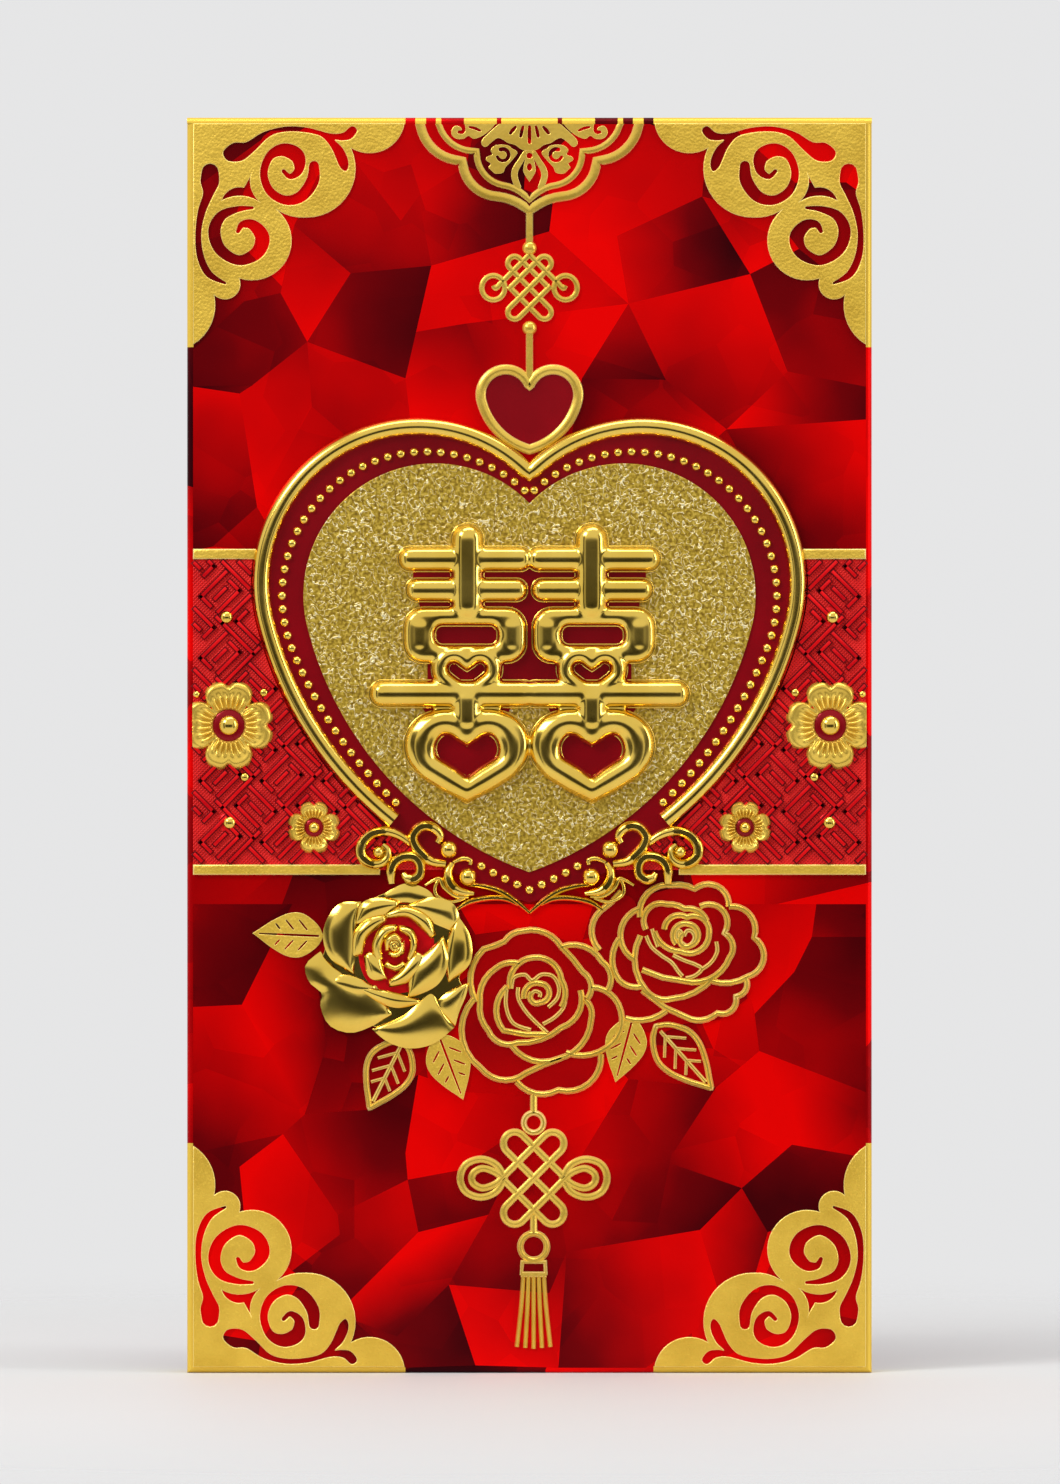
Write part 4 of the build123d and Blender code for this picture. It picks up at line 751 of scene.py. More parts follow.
# Upper pendant: a stem with a round bead, a woven knot of cord with side loops, a second bead and a
# second stem, stamped as raised half-round gold lines in one chain down to the small heart.
def bead_mesh(name, spots, height, base=0.0, detail=2):
    """Mesh of round studs at (x, y, radius) spots in millimetres, rising to height above base."""
    studs = bmesh.new()
    for x, y, radius in spots:
        shape = Matrix.Translation((x, y, 0)) @ Matrix.Diagonal((radius, radius, height, 1.0))
        bmesh.ops.create_icosphere(studs, subdivisions=detail, radius=1.0, matrix=shape)
    for vertex in studs.verts:
        vertex.co.z = max(vertex.co.z, LINE_FOOT)
    mesh = made_mesh(name, studs)
    on_face(mesh, height=base)
    return mesh


SLANT = math.sqrt(0.5)
BAR_END = 0.18
WEAVE_STEP = 0.03


def knot_runs(x, y, strands, pitch, reach, shift):
    """Bars that run over, bars that run under and round turns of a diamond knot woven at 45 degrees."""
    half = (strands - 1) / 2 * pitch
    far = half + reach
    bar = half + pitch * BAR_END
    over, under = [], []
    for strand in range(strands):
        offset = strand * pitch - half
        over.append(((-bar, offset), (bar, offset)))
        under.append(((offset, -bar), (offset, bar)))
    turn = [(half, shift - pitch / 2)]
    turn += arc_run(((far, shift - pitch / 2), (far + pitch / 2, shift), (far, shift + pitch / 2)))
    turn += [(half, shift + pitch / 2)]
    turns = [turn, [(-u, -v) for u, v in turn], [(v, u) for u, v in turn], [(-v, -u) for u, v in turn]]
    return [
        [[(x + SLANT * (u - v), y + SLANT * (u + v)) for u, v in run] for run in runs]
        for runs in (over, under, turns)
    ]


def woven(name, over, under, turns, width, height, crown):
    """Mesh of a knot whose crossing cords stand a step higher or lower than its turns."""
    return joined(
        name,
        wire("knot_over", over, width=width, height=height + WEAVE_STEP, crown=crown),
        wire("knot_under", under, width=width, height=height - WEAVE_STEP, crown=crown),
        wire("knot_turns", turns, width=width, height=height, crown=crown),
    )


UPPER_Z = 142.6
upper_stems = [[(0, 152.4), (0, 148.4)], [(0, 136.6), (0, 130.6)]]
line_work("pendant_stems", wire("pendant_stems", upper_stems, width=0.95, height=0.5, crown=1.5))
upper_runs = knot_runs(0.0, UPPER_Z, strands=3, pitch=1.8, reach=1.85, shift=0.9)
upper_knot = woven("upper_knot", *upper_runs, width=0.76, height=0.43, crown=1.4)
loop_tail = smooth_run(((4.7, UPPER_Z + 0.3), (4.45, UPPER_Z - 0.1), (3.95, UPPER_Z + 0.4)), steps=4)
loop_tail.append((0.05, UPPER_Z + 4.3))
upper_loops = both_sides([ring_run(4.75, UPPER_Z, radius=1.6, stretch=0.95), loop_tail])
upper_loop_mesh = wire("upper_loops", upper_loops, width=0.74, height=0.44, crown=1.4)
line_work("upper_knot", joined("upper_knot", upper_knot, upper_loop_mesh))
upper_beads = bead_mesh("pendant_beads", [(0, 147.8, 0.95), (0, 137.3, 0.95)], height=0.8, detail=3)
put("pendant_beads", upper_beads, bright_gold, "satin_gold_foil", "pendant_beads")


# Small heart: a plain heart in one raised gold line round a ground of dark red foil, stamped at the
# foot of the upper pendant.
def heart_run(x, lobe_z, lobe, spread, depth, fall=14.0):
    """Closed heart of two round lobes about lobe_z, with side arcs that meet depth below."""
    notch = math.sqrt(lobe * lobe - spread * spread)
    low = math.radians(-fall)
    shoulder = (spread + lobe * math.cos(low), lobe * math.sin(low))
    inward = (-math.cos(low), -math.sin(low))
    dx, dy = -shoulder[0], -depth - shoulder[1]
    radius = (dx * dx + dy * dy) / (2 * (dx * inward[0] + dy * inward[1]))
    middle_x, middle_y = shoulder[0] + inward[0] * radius, shoulder[1] + inward[1] * radius
    bow = math.atan2((shoulder[1] - depth) / 2 - middle_y, shoulder[0] / 2 - middle_x)
    side = (middle_x + abs(radius) * math.cos(bow), middle_y + abs(radius) * math.sin(bow))
    lobe_top = math.radians(62.0)
    half = arc_run(
        (
            (0.0, notch),
            (spread + lobe * math.cos(lobe_top), lobe * math.sin(lobe_top)),
            shoulder,
            side,
            (0.0, -depth),
        ),
        step=2.0,
    )
    return [(x + u, lobe_z + v) for u, v in half] + [(x - u, lobe_z + v) for u, v in half[-2::-1]]


enamel = clouded(
    "red_enamel", scale=70.0, detail=3.0, dark=(0.22, 0.0, 0.004), light=(0.36, 0.0, 0.006),
    Metallic=0.3, Roughness=0.25, Specular_IOR_Level=0.3,
)
small_line = heart_run(0, 128.55, lobe=3.3, spread=3.1, depth=7.2)
line_work("small_heart", wire("small_heart", [small_line], width=1.4, height=0.62))
small_ground = flat_relief("small_heart_ground", [small_line[:-1]], base=0.0, top=0.1, bevel=0.02)
put("small_heart_ground", small_ground, enamel, "dark_red_foil")


# Heart: an enamel-red ground plate with a bright half-round rim, a row of round beads and, in the
# middle, a panel of crinkled gold foil that sparkles through glints painted into its colour, over
# patches that are partly its own tone and partly painted reflection.
LOBE_Z = 103.8
HEART_LOBE = 21.7
HEART_SPREAD = 14.7
HEART_DEPTH = 42.0
RIM_WIDTH = 2.4
RIM_INSET = 1.15
TIP_INSET = 1.9
TIP_HALF = 1.0
RIM_END = 72.4
BEAD_PITCH = 1.76
BEAD_RADIUS = 0.62
BRACKET_INNER = 6.4
BRACKET_TOP = 74.2
cover("heart_ground", enamel)
polished_gold = gold_foil(
    "polished_gold", colour=(0.92, 0.64, 0.12), dark=(0.86, 0.57, 0.085),
    metal=1.0, roughness=0.13, grain=0.0009, depth=0.000003,
)


def polished(name, mesh, **shading):
    """Puts a piece of polished gold in place of the solid of its name."""
    put(name, mesh, polished_gold, "polished_gold_foil", name, **shading)


# The rim is open at the tip of the heart, where the brackets and the swag close it.
rim_line = heart_run(
    0, LOBE_Z, lobe=HEART_LOBE - RIM_INSET, spread=HEART_SPREAD, depth=HEART_DEPTH - TIP_INSET
)
right_end = max(index for index, (x, z) in enumerate(rim_line) if x > TIP_HALF and z > RIM_END)
left_end = min(index for index, (x, z) in enumerate(rim_line) if x < -TIP_HALF and z > RIM_END)
rim_run = rim_line[left_end:] + rim_line[1 : right_end + 1]
polished("heart_rim", wire("heart_rim", [rim_run], width=RIM_WIDTH, height=1.3, base=0.3, steps=8))

# The row of beads leaves out the stretches under the brackets.
bead_line = heart_run(0, LOBE_Z - 1.7, lobe=18.95, spread=13.55, depth=38.6, fall=22.0)
lengths = [0.0]
for near, far in zip(bead_line, bead_line[1:]):
    lengths.append(lengths[-1] + math.dist(near, far))
bead_count = round(lengths[-1] / BEAD_PITCH)
bead_spots = []
for bead in range(bead_count):
    along = (bead + 0.5) * lengths[-1] / bead_count
    span = max(index for index, length in enumerate(lengths[:-1]) if length <= along)
    share = (along - lengths[span]) / (lengths[span + 1] - lengths[span])
    x, z = Vector(bead_line[span]).lerp(Vector(bead_line[span + 1]), share)
    if abs(x) < BRACKET_INNER or z > BRACKET_TOP:
        bead_spots.append((x, z, BEAD_RADIUS))
polished("heart_beads", bead_mesh("heart_beads", bead_spots, height=0.62, base=0.3))

# Glitter: bright pale squiggles painted on as glints, over patches that are partly the foil's own tone and
# partly painted reflection.
sparkle, sparkle_shader = finish("sparkle_gold", Metallic=0.5)
sparkle_place = node(sparkle, "TexCoord").outputs["Object"]
worm = node(sparkle, "TexNoise", {"Vector": sparkle_place, "Scale": 980.0, "Detail": 0.0, "Distortion": 1.1})
glint_patches = node(sparkle, "TexNoise", {"Vector": sparkle_place, "Scale": 2300.0, "Detail": 1.0}).outputs[0]
off_line = math_of(sparkle, "ABSOLUTE", math_of(sparkle, "SUBTRACT", worm.outputs[0], 0.5))
squiggle = eased(sparkle, off_line, start=0.0, end=0.05, low=1.0, high=0.0)
broken = scaled(sparkle, glint_patches, low=0.0, high=1.0, start=0.36, end=0.50)
lit = math_of(sparkle, "MULTIPLY", squiggle, broken)
foil_and_reflection_tones = ((0.3, (0.26, 0.155, 0.010)), (0.5, (0.54, 0.35, 0.026)), (0.7, (0.88, 0.63, 0.10)))
sparkle_tone = mixed(sparkle, lit, ramp(sparkle, glint_patches, foil_and_reflection_tones), (1.0, 0.90, 0.55, 1.0))
sparkle_rough = scaled(sparkle, lit, low=0.40, high=0.26)
sparkle_bump = node(sparkle, "Bump", {"Height": lit, "Strength": 0.7, "Distance": 0.00012}).outputs[0]
sparkle.node_tree.links.new(sparkle_tone, sparkle_shader.inputs["Base Color"])
sparkle.node_tree.links.new(sparkle_rough, sparkle_shader.inputs["Roughness"])
sparkle.node_tree.links.new(sparkle_bump, sparkle_shader.inputs["Normal"])
field_line = heart_run(0, LOBE_Z - 1.6, lobe=17.3, spread=12.4, depth=36.4)[:-1]
put(
    "heart_field",
    flat_relief("heart_field", [field_line], base=0.3, top=0.58, bevel=0.1),
    sparkle,
    "glitter_gold_foil",
    "heart_field",
)


# Emblem on the heart: the traditional wedding ornament of two joined signs, embossed high in
# polished gold with pillowed strokes on a thin gold flange, over a dark red panel.
SIGN_X = 8.2
PANEL_SIDE = (
    (15.3, 106.0), (15.3, 104.3), (14.5, 101.4), (14.4, 100.4), (13.4, 94.0), (13.4, 90.5), (14.4, 87.9),
    (13.6, 86.7), (2.8, 86.7), (2.2, 87.9),
)
panel_outlines = [list(PANEL_SIDE) + [(-x, z) for x, z in PANEL_SIDE[::-1]]]
panel_outlines += [heart_run(x, 82.6, lobe=2.75, spread=2.5, depth=5.6)[:-1] for x in (-SIGN_X, SIGN_X)]
plaque = [
    flat_relief("emblem_panel", [outline], base=0.5, top=0.68, bevel=0.04) for outline in panel_outlines
]
put("emblem_plaque", joined("emblem_plaque", *plaque), enamel, "dark_red_foil", "emblem_plaque")


def round_bar(low_x, low_z, high_x, high_z, radius):
    """Closed outline of a bar between two corners, with round corners of its own."""
    run = []
    for x, z, start in (
        (high_x - radius, high_z - radius, 0), (low_x + radius, high_z - radius, 90),
        (low_x + radius, low_z + radius, 180), (high_x - radius, low_z + radius, 270),
    ):
        for turn in range(7):
            angle = math.radians(start + 15 * turn)
            run.append((x + radius * math.cos(angle), z + radius * math.sin(angle)))
    return run


# Strokes of the right sign: depth of the rounded edge, and the outline with its hole if it has one.
BIG_HEART = heart_run(SIGN_X, 82.45, lobe=4.6, spread=3.6, depth=7.55, fall=58.0)[:-1]
BIG_HOLE = heart_run(SIGN_X, 82.0, lobe=2.1, spread=2.0, depth=3.7, fall=60.0)[:-1]
STROKES = (
    (1.85, [round_bar(6.05, 98.9, 10.25, 111.6, radius=2.05)]),
    (1.4, [round_bar(-0.3, 105.35, 17.2, 108.55, radius=1.5)]),
    (1.3, [round_bar(0.3, 101.4, 16.2, 104.4, radius=1.4)]),
    (1.1, [round_bar(0.4, 93.3, 16.5, 100.6, radius=2.6), round_bar(4.2, 95.7, 12.4, 98.2, radius=1.0)]),
    (1.55, [round_bar(-1.0, 87.5, 21.0, 91.0, radius=1.7)]),
    (1.85, [round_bar(6.2, 83.9, 10.2, 90.4, radius=1.9)]),
    (1.2, [BIG_HEART, BIG_HOLE]),
)
# Side bars of the ring above the small heart, as height and share of their width.
CHEEK = ((93.9, 0.35), (94.5, 0.75), (95.6, 1.0), (98.3, 1.0), (99.4, 0.75), (100.0, 0.35))
STROKE_BASE = 0.6
STROKE_WALL = 0.35
STROKE_FOOT = 0.3
FLANGE_TOP = 0.84
FLANGE_STEP = 0.008
stroke_plates, flange_plates = [], []
for order, (depth, outlines) in enumerate(STROKES):
    low, high = STROKE_BASE - STROKE_WALL - depth, STROKE_BASE + STROKE_WALL + depth
    for side in (-1, 1):
        sides = [[(side * x, z) for x, z in outline] for outline in outlines]
        stroke_plates.append(flat_relief("stroke", sides, base=low, top=high, bevel=depth))
        flange_top = FLANGE_TOP + FLANGE_STEP * order
        flange_plates.append(flat_relief("flange", sides, base=0.4, top=flange_top, bevel=0.12, swell=0.16))
small_rings = both_sides([heart_run(SIGN_X, 92.55, lobe=1.85, spread=1.7, depth=3.4, fall=50.0)])
big_rings = both_sides([heart_run(SIGN_X, 82.2, lobe=3.35, spread=2.8, depth=5.6, fall=58.0)])
cheeks = both_sides([[(x, z, share) for z, share in CHEEK] for x in (2.35, 14.4)])
stroke_plates.append(wire("small_ring", small_rings, width=2.4, height=1.85, base=STROKE_BASE, steps=7))
stroke_plates.append(wire("big_ring", big_rings, width=3.7, height=1.9, base=STROKE_BASE, steps=7))
stroke_plates.append(wire("cheek", cheeks, width=3.6, height=1.7, base=STROKE_BASE, steps=7))
flange_plates.append(wire("small_ring", small_rings, width=2.85, height=0.3, base=0.55))
put("emblem_flange", joined("emblem_flange", *flange_plates), polished_gold, "polished_gold_foil")

# The strokes are cut off at their foot, made one skin and eased, so that they flow into each other.
stroke_mesh = joined("emblem_strokes", *stroke_plates)
for vertex in stroke_mesh.vertices:
    vertex.co.y = min(vertex.co.y, -FACE - STROKE_FOOT * MM)
emblem = bpy.data.objects.new("emblem_strokes", stroke_mesh)
bpy.context.scene.collection.objects.link(emblem)
blend_in = emblem.modifiers.new("remesh", "REMESH")
blend_in.mode = "VOXEL"
blend_in.voxel_size = 0.0002
ease = emblem.modifiers.new("ease", "SMOOTH")
ease.factor = 0.5
ease.iterations = 14
emblem_mesh = bpy.data.meshes.new_from_object(emblem.evaluated_get(bpy.context.evaluated_depsgraph_get()))
bpy.data.objects.remove(emblem)
put("emblem", emblem_mesh, polished_gold, "polished_gold_foil", angle=80.0)


# Side bands: red paper embossed with a slanting fret, laid across the face behind the heart, with
# a finely woven ground between the raised ribs.
weave, weave_shader = finish("fret_paper", Metallic=0.2, Roughness=0.4, Specular_IOR_Level=0.2)
weave_place = node(weave, "TexCoord").outputs["Object"]
weave_slant = (0.0, math.radians(45), 0.0)
weave_turn = node(weave, "Mapping", {"Vector": weave_place, "Rotation": weave_slant}).outputs[0]
threads_a = node(weave, "TexWave", {"Vector": weave_turn, "Scale": 900.0}, bands_direction="X").outputs[1]
threads_b = node(weave, "TexWave", {"Vector": weave_turn, "Scale": 900.0}, bands_direction="Z").outputs[1]
threads = math_of(weave, "MAXIMUM", threads_a, threads_b)
weave_bump = node(weave, "Bump", {"Height": threads, "Strength": 0.9, "Distance": 0.00006})
weave_cloud = node(weave, "TexNoise", {"Vector": weave_place, "Scale": 260.0, "Detail": 4.0}).outputs[0]
woven_tone = math_of(weave, "MULTIPLY", threads, 0.35)
weave_tone = math_of(weave, "ADD", woven_tone, math_of(weave, "MULTIPLY", weave_cloud, 0.65))
weave_reds = ((0.25, (0.30, 0.0, 0.004)), (0.5, (0.68, 0.004, 0.004)), (0.8, (1.0, 0.025, 0.02)))
weave.node_tree.links.new(ramp(weave, weave_tone, weave_reds), weave_shader.inputs["Base Color"])
weave.node_tree.links.new(weave_bump.outputs[0], weave_shader.inputs["Normal"])
for name in ("band_left", "band_right"):
    cover(name, weave)

rib_red = clouded(
    "fret_ribs", scale=320.0, detail=3.0, dark=(0.70, 0.001, 0.006), light=(0.98, 0.006, 0.008),
    Metallic=0.2, Roughness=0.24, Specular_IOR_Level=0.25,
)
rib_shade = clouded(
    "fret_shade", scale=420.0, detail=3.0, dark=(0.07, 0.0, 0.002), light=(0.20, 0.0, 0.004),
    Metallic=0.2, Roughness=0.5, Specular_IOR_Level=0.15,
)
BAND_LOW, BAND_HIGH, BAND_EDGE = 66.9, 106.9, 44.3
LOBE_FOOT = LOBE_Z - 5.2
RIM_CLEAR = 1.5
RIB_WIDTH = 0.72
RIB_HEIGHT = 0.6
RIB_ROOM = 0.3
RIB_SAMPLES = 24


def beside_heart(x, z, room):
    """True where a point on the bands lies clear of heart, rails and side fold by room, in mm."""
    if not (BAND_LOW + room < z < BAND_HIGH - room and abs(x) < BAND_EDGE - room):
        return False
    if z > LOBE_FOOT:
        return math.dist((abs(x), z), (HEART_SPREAD, LOBE_Z)) > HEART_LOBE + room
    edge = 0.0
    for (ax, az), (bx, bz) in zip(rim_line, rim_line[1:]):
        if ax > 0 and min(az, bz) <= z <= max(az, bz) and az != bz:
            edge = max(edge, ax + (bx - ax) * (z - az) / (bz - az))
    return abs(x) > edge + RIM_CLEAR + room


def clear_stretch(start, end, side):
    """Ends of the first stretch of a rib that lies clear on its side of the face, or None."""
    clear = []
    for sample in range(RIB_SAMPLES + 1):
        share = sample / RIB_SAMPLES
        spot = tuple(a + share * (b - a) for a, b in zip(start, end))
        if spot[0] * side > 0 and beside_heart(*spot, RIB_ROOM):
            clear.append(spot)
        elif len(clear) > 1:
            break
        else:
            clear = []
    if len(clear) < 2 or math.dist(clear[0], clear[-1]) < RIB_WIDTH:
        return None
    return clear[0], clear[-1]


# Ribs of one cell of the fret, in shares of the cell; every second cell is turned over.
FRET_KEYS = (
    ((0.02, 0.02), (1.2, 0.02)),
    ((0.14, 0.28), (0.82, 0.28)),
    ((0.82, 0.28), (0.82, 0.58)),
    ((0.30, 0.54), (0.62, 0.54)),
    ((0.10, 0.80), (0.90, 0.80)),
    ((0.10, 0.80), (0.10, 0.50)),
)
FRET_CELL = 5.7
FRET_START = 50.0
fret = bmesh.new()
for row, column in itertools.product(range(-4, 24), range(-16, 12)):
    for side, key in itertools.product((-1, 1), FRET_KEYS):
        ends = key if (row + column) % 2 else [spot[::-1] for spot in key]
        cell_ends = [(FRET_CELL * (row + u), FRET_CELL * (column + v)) for u, v in ends]
        start, end = [(side * SLANT * (a - b), FRET_START + SLANT * (a + b)) for a, b in cell_ends]
        stretch = clear_stretch(start, end, side)
        if not stretch:
            continue
        near, far = Vector(stretch[0]), Vector(stretch[1])
        bearing = math.atan2(end[1] - start[1], end[0] - start[0])
        size = ((far - near).length + RIB_WIDTH, RIB_WIDTH, RIB_HEIGHT, 1.0)
        place = Matrix.Translation(((near + far) / 2).to_3d()) @ Matrix.Rotation(bearing, 4, "Z")
        bmesh.ops.create_cube(fret, size=1.0, matrix=place @ Matrix.Diagonal(size))
top_edges = [edge for edge in fret.edges if all(vertex.co.z > 0 for vertex in edge.verts)]
bmesh.ops.bevel(fret, geom=top_edges, offset=0.16, segments=2, profile=0.5, affect="EDGES", material=-1)
fret_mesh = made_mesh("fret_ribs", fret)
on_face(fret_mesh, height=0.4)
put("fret_ribs", fret_mesh, rib_red, "red_lattice_paper", edge=rib_shade, slope=0.95)


# Rails: plain bars of satin gold foil, stamped along the upper and lower edges of the bands from the
# side folds to the heart.
RAIL_END = 44.2
RAILS = (("upper", 106.9, 108.3, 35.9), ("lower", 65.45, 66.85, 19.6))
for side, hand in ((-1, "left"), (1, "right")):
    for level, low, high, inner in RAILS:
        bar = [(side * RAIL_END, low), (side * inner, low), (side * inner, high), (side * RAIL_END, high)]
        name = f"{level}_rail_{hand}"
        mesh = flat_relief(name, [bar], base=0.0, top=0.68, bevel=0.3)
        satin_plate(name, mesh, slope=0.95)


# Blossoms on the bands: stamped gold flowers of four notched petals with ridges round a red eye
# and a polished boss, and loose round studs beside the large ones.
FOLD_EDGE = 44.25
BLOSSOM_BASE = 0.3
BLOSSOM_RISE = 0.8
EYE_SHARE = 0.32
NOTCH_SHARE = 0.11
CLEFT_SHARE = 0.30
LIP_START = 0.8
RIDGE_END = 0.62
RIDGES = 7
ROOT_END = 0.12
PETAL_REACH = 0.99
PETAL_LEVEL = 0.85
LIP_HEIGHT = 0.22
RIDGE_HEIGHT = 0.255
CLEFT_DEPTH = 0.5
FURROW_DEPTH = 0.22
FURROW_START = 0.6
# Half the angle of a petal, and the part of it on which the edge is still round, in degrees.
PETAL_HALF = 45.0
PETAL_ROUND = 18.0


def bump_at(distance, width):
    """Height of a soft bump of the given width, 1 in its middle."""
    return math.exp(-((distance / width) ** 2))


def blossom_mesh(name, x, z, radius):
    """Pillowed mesh of one blossom with radial ridges, flat at the side fold."""
    petals = bmesh.new()
    bmesh.ops.create_grid(petals, x_segments=18, y_segments=336, size=1.0)
    eye = EYE_SHARE * radius
    for vertex in petals.verts:
        out, turn = (vertex.co.x + 1) / 2, (vertex.co.y + 1) / 2
        angle = math.tau * turn
        quarter = (angle / (math.pi / 2) + 0.5) % 1.0 - 0.5
        off_axis = abs(quarter) * 90.0
        fall = max(0.0, (off_axis - PETAL_ROUND) / (PETAL_HALF - PETAL_ROUND)) ** 2.6
        notch = NOTCH_SHARE * bump_at(off_axis, width=6.0)
        edge = radius * (PETAL_REACH - notch - CLEFT_SHARE * fall)
        reach = eye + (edge - eye) * out
        swell = 1.0 - (1.0 - min(1.0, out / ROOT_END)) ** 2
        roll = math.sqrt(max(0.0, 1.0 - (max(0.0, out - LIP_START) / (1.0 - LIP_START)) ** 2))
        lip = LIP_HEIGHT * bump_at(out - LIP_START, width=0.12)
        ridge_fade = math.sin(math.pi * min(1.0, out / RIDGE_END))
        ridge = RIDGE_HEIGHT * ridge_fade * math.cos(math.tau * RIDGES * (quarter + 0.5))
        cleft = CLEFT_DEPTH * bump_at(PETAL_HALF - off_axis, width=3.5)
        furrow_fade = max(0.0, out - FURROW_START) / (1.0 - FURROW_START)
        furrow = FURROW_DEPTH * bump_at(off_axis, width=4.0) * furrow_fade
        height = BLOSSOM_BASE + BLOSSOM_RISE * swell * roll * (PETAL_LEVEL + lip + ridge - cleft - furrow)
        across = x + reach * math.cos(angle)
        vertex.co = (max(-FOLD_EDGE, min(FOLD_EDGE, across)), z + reach * math.sin(angle), height)
    bmesh.ops.remove_doubles(petals, verts=petals.verts[:], dist=1e-4)
    bmesh.ops.recalc_face_normals(petals, faces=petals.faces[:])
    mesh = made_mesh(name, petals)
    on_face(mesh, height=0.0)
    return mesh


def mirrored(spots):
    """The (x, y, radius) spots on the left and on the right of the face."""
    return [(side * x, z, radius) for side in (-1, 1) for x, z, radius in spots]


BLOSSOMS = (("big", 39.5, 85.1, 6.0), ("small", 28.3, 71.7, 3.5))
BAND_STUDS = ((39.8, 99.3, 0.9), (39.4, 72.3, 0.9))
SMALL_STUDS = ((43.7, 89.2, 0.5), (34.9, 89.4, 0.62), (37.4, 78.3, 0.65))
for side, hand in ((-1, "left"), (1, "right")):
    for size, x, z, radius in BLOSSOMS:
        name = f"{size}_blossom_{hand}"
        put(name, blossom_mesh(name, side * x, z, radius), bright_gold, "satin_gold_foil", name)
eye_spots = mirrored([(x, z, 0.36 * radius) for _, x, z, radius in BLOSSOMS])
boss_spots = mirrored([(x, z, 0.24 * radius) for _, x, z, radius in BLOSSOMS])
disc_spots = mirrored([(x, z, 1.45) for x, z, _ in BAND_STUDS])
eye_mesh = bead_mesh("blossom_eyes", eye_spots, height=0.35, base=0.62, detail=3)
put("blossom_eyes", eye_mesh, enamel, "dark_red_foil")
polished("blossom_bosses", bead_mesh("blossom_bosses", boss_spots, height=1.25, base=0.3, detail=3))
polished("band_studs", bead_mesh("band_studs", mirrored(BAND_STUDS), height=0.8, base=0.3, detail=3))
disc_mesh = bead_mesh("stud_discs", disc_spots, height=0.22, base=0.3, detail=3)
put("stud_discs", disc_mesh, rib_red, "red_lattice_paper")
polished("small_studs", bead_mesh("small_studs", mirrored(SMALL_STUDS), height=0.6, base=0.3, detail=3))


# Scroll brackets under the heart: volutes in polished gold that look cast and carry round beads, with
# a swag of two lines that meets in one point below the tip of the heart. All are stamped on the face.
BRACKET_PATHS = (
    ((-15.6, 69.6, 0.7), (-17.2, 70.7, 0.95), (-19.0, 71.2, 1.05), (-20.8, 70.8, 1.1), (-22.0, 69.5, 1.15),
     (-22.1, 68.1, 1.15), (-21.1, 67.1, 1.1), (-19.8, 66.9, 1.0), (-18.8, 67.6, 0.9), (-18.6, 68.7, 0.8),
     (-19.3, 69.4, 0.65)),
    ((-11.0, 66.9, 0.75), (-12.8, 67.2, 1.0), (-14.1, 68.2, 1.1), (-15.0, 69.3, 1.1), (-15.3, 70.5, 1.1),
     (-14.5, 71.6, 1.1), (-13.4, 71.9, 1.1), (-12.3, 71.4, 1.0), (-11.7, 70.5, 0.85), (-12.1, 69.7, 0.6)),
    ((-18.1, 64.3, 0.7), (-18.2, 65.8, 1.05), (-17.7, 67.1, 1.1), (-16.6, 67.8, 1.1), (-15.2, 67.8, 1.1),
     (-14.4, 66.9, 1.1), (-14.4, 65.6, 1.1), (-15.2, 64.9, 1.1), (-16.1, 65.1, 0.95), (-16.6, 65.7, 0.6)),
    ((-10.1, 67.0, 0.6), (-10.7, 65.8, 0.95), (-10.4, 64.3, 1.1), (-9.2, 63.3, 0.95), (-7.3, 63.0, 0.4)),
    ((-10.0, 67.1, 0.4), (-8.8, 67.6, 0.5), (-7.8, 67.4, 0.5), (-7.8, 66.8, 0.4)),
    ((-13.7, 64.1, 0.3), (-11.9, 65.0, 0.45), (-11.2, 63.8, 0.45), (-9.7, 62.7, 0.45), (-8.0, 62.6, 0.3)),
    ((-11.9, 65.0, 0.3), (-12.4, 63.8, 0.4), (-12.1, 62.7, 0.4), (-10.4, 61.9, 0.4), (-8.5, 62.4, 0.3)),
)
BRACKET_BEADS = ((10.6, 68.8, 1.25), (8.1, 65.2, 1.25), (19.8, 68.5, 0.9))
SWAG_PATHS = (
    ((-8.5, 64.2, 0.6), (-6.3, 64.0, 0.9), (-4.0, 63.4, 1.0), (-1.9, 62.1, 0.9), (0, 60.5, 0.6)),
    ((-9.7, 60.8, 0.6), (-7.9, 61.9, 1.0), (-5.4, 62.4, 1.0), (-3.2, 62.3, 0.9), (-1.5, 61.5, 0.5)),
)
left_runs = [smooth_run(path) for path in BRACKET_PATHS]
right_runs = [[(-x, y, share) for x, y, share in run] for run in left_runs]
for name, runs in (("scroll_bracket_left", left_runs), ("scroll_bracket_right", right_runs)):
    polished(name, wire(name, runs, width=1.45, height=1.0, base=0.3, steps=6))
polished("bracket_beads", bead_mesh("bracket_beads", mirrored(BRACKET_BEADS), height=1.5, base=0.3, detail=3))
swag_runs = both_sides([smooth_run(path) for path in SWAG_PATHS])
polished("heart_swag", wire("heart_swag", swag_runs, width=0.85, height=0.55, base=0.25))


# Left rose: a full relief of thin gold sheet, pressed into cupped petals that overlap round a bud,
# and stamped on the face below the left band.
EDGE_LEVEL = 0.15
ROLL_START = 0.08
ROLL_SPAN = 0.86


def spot_along(run, share):
    """Place at a share of the way along a run, counted in its points."""
    place = share * (len(run) - 1)
    low = min(int(place), len(run) - 2)
    return Vector(run[low]).lerp(Vector(run[low + 1]), place - low)


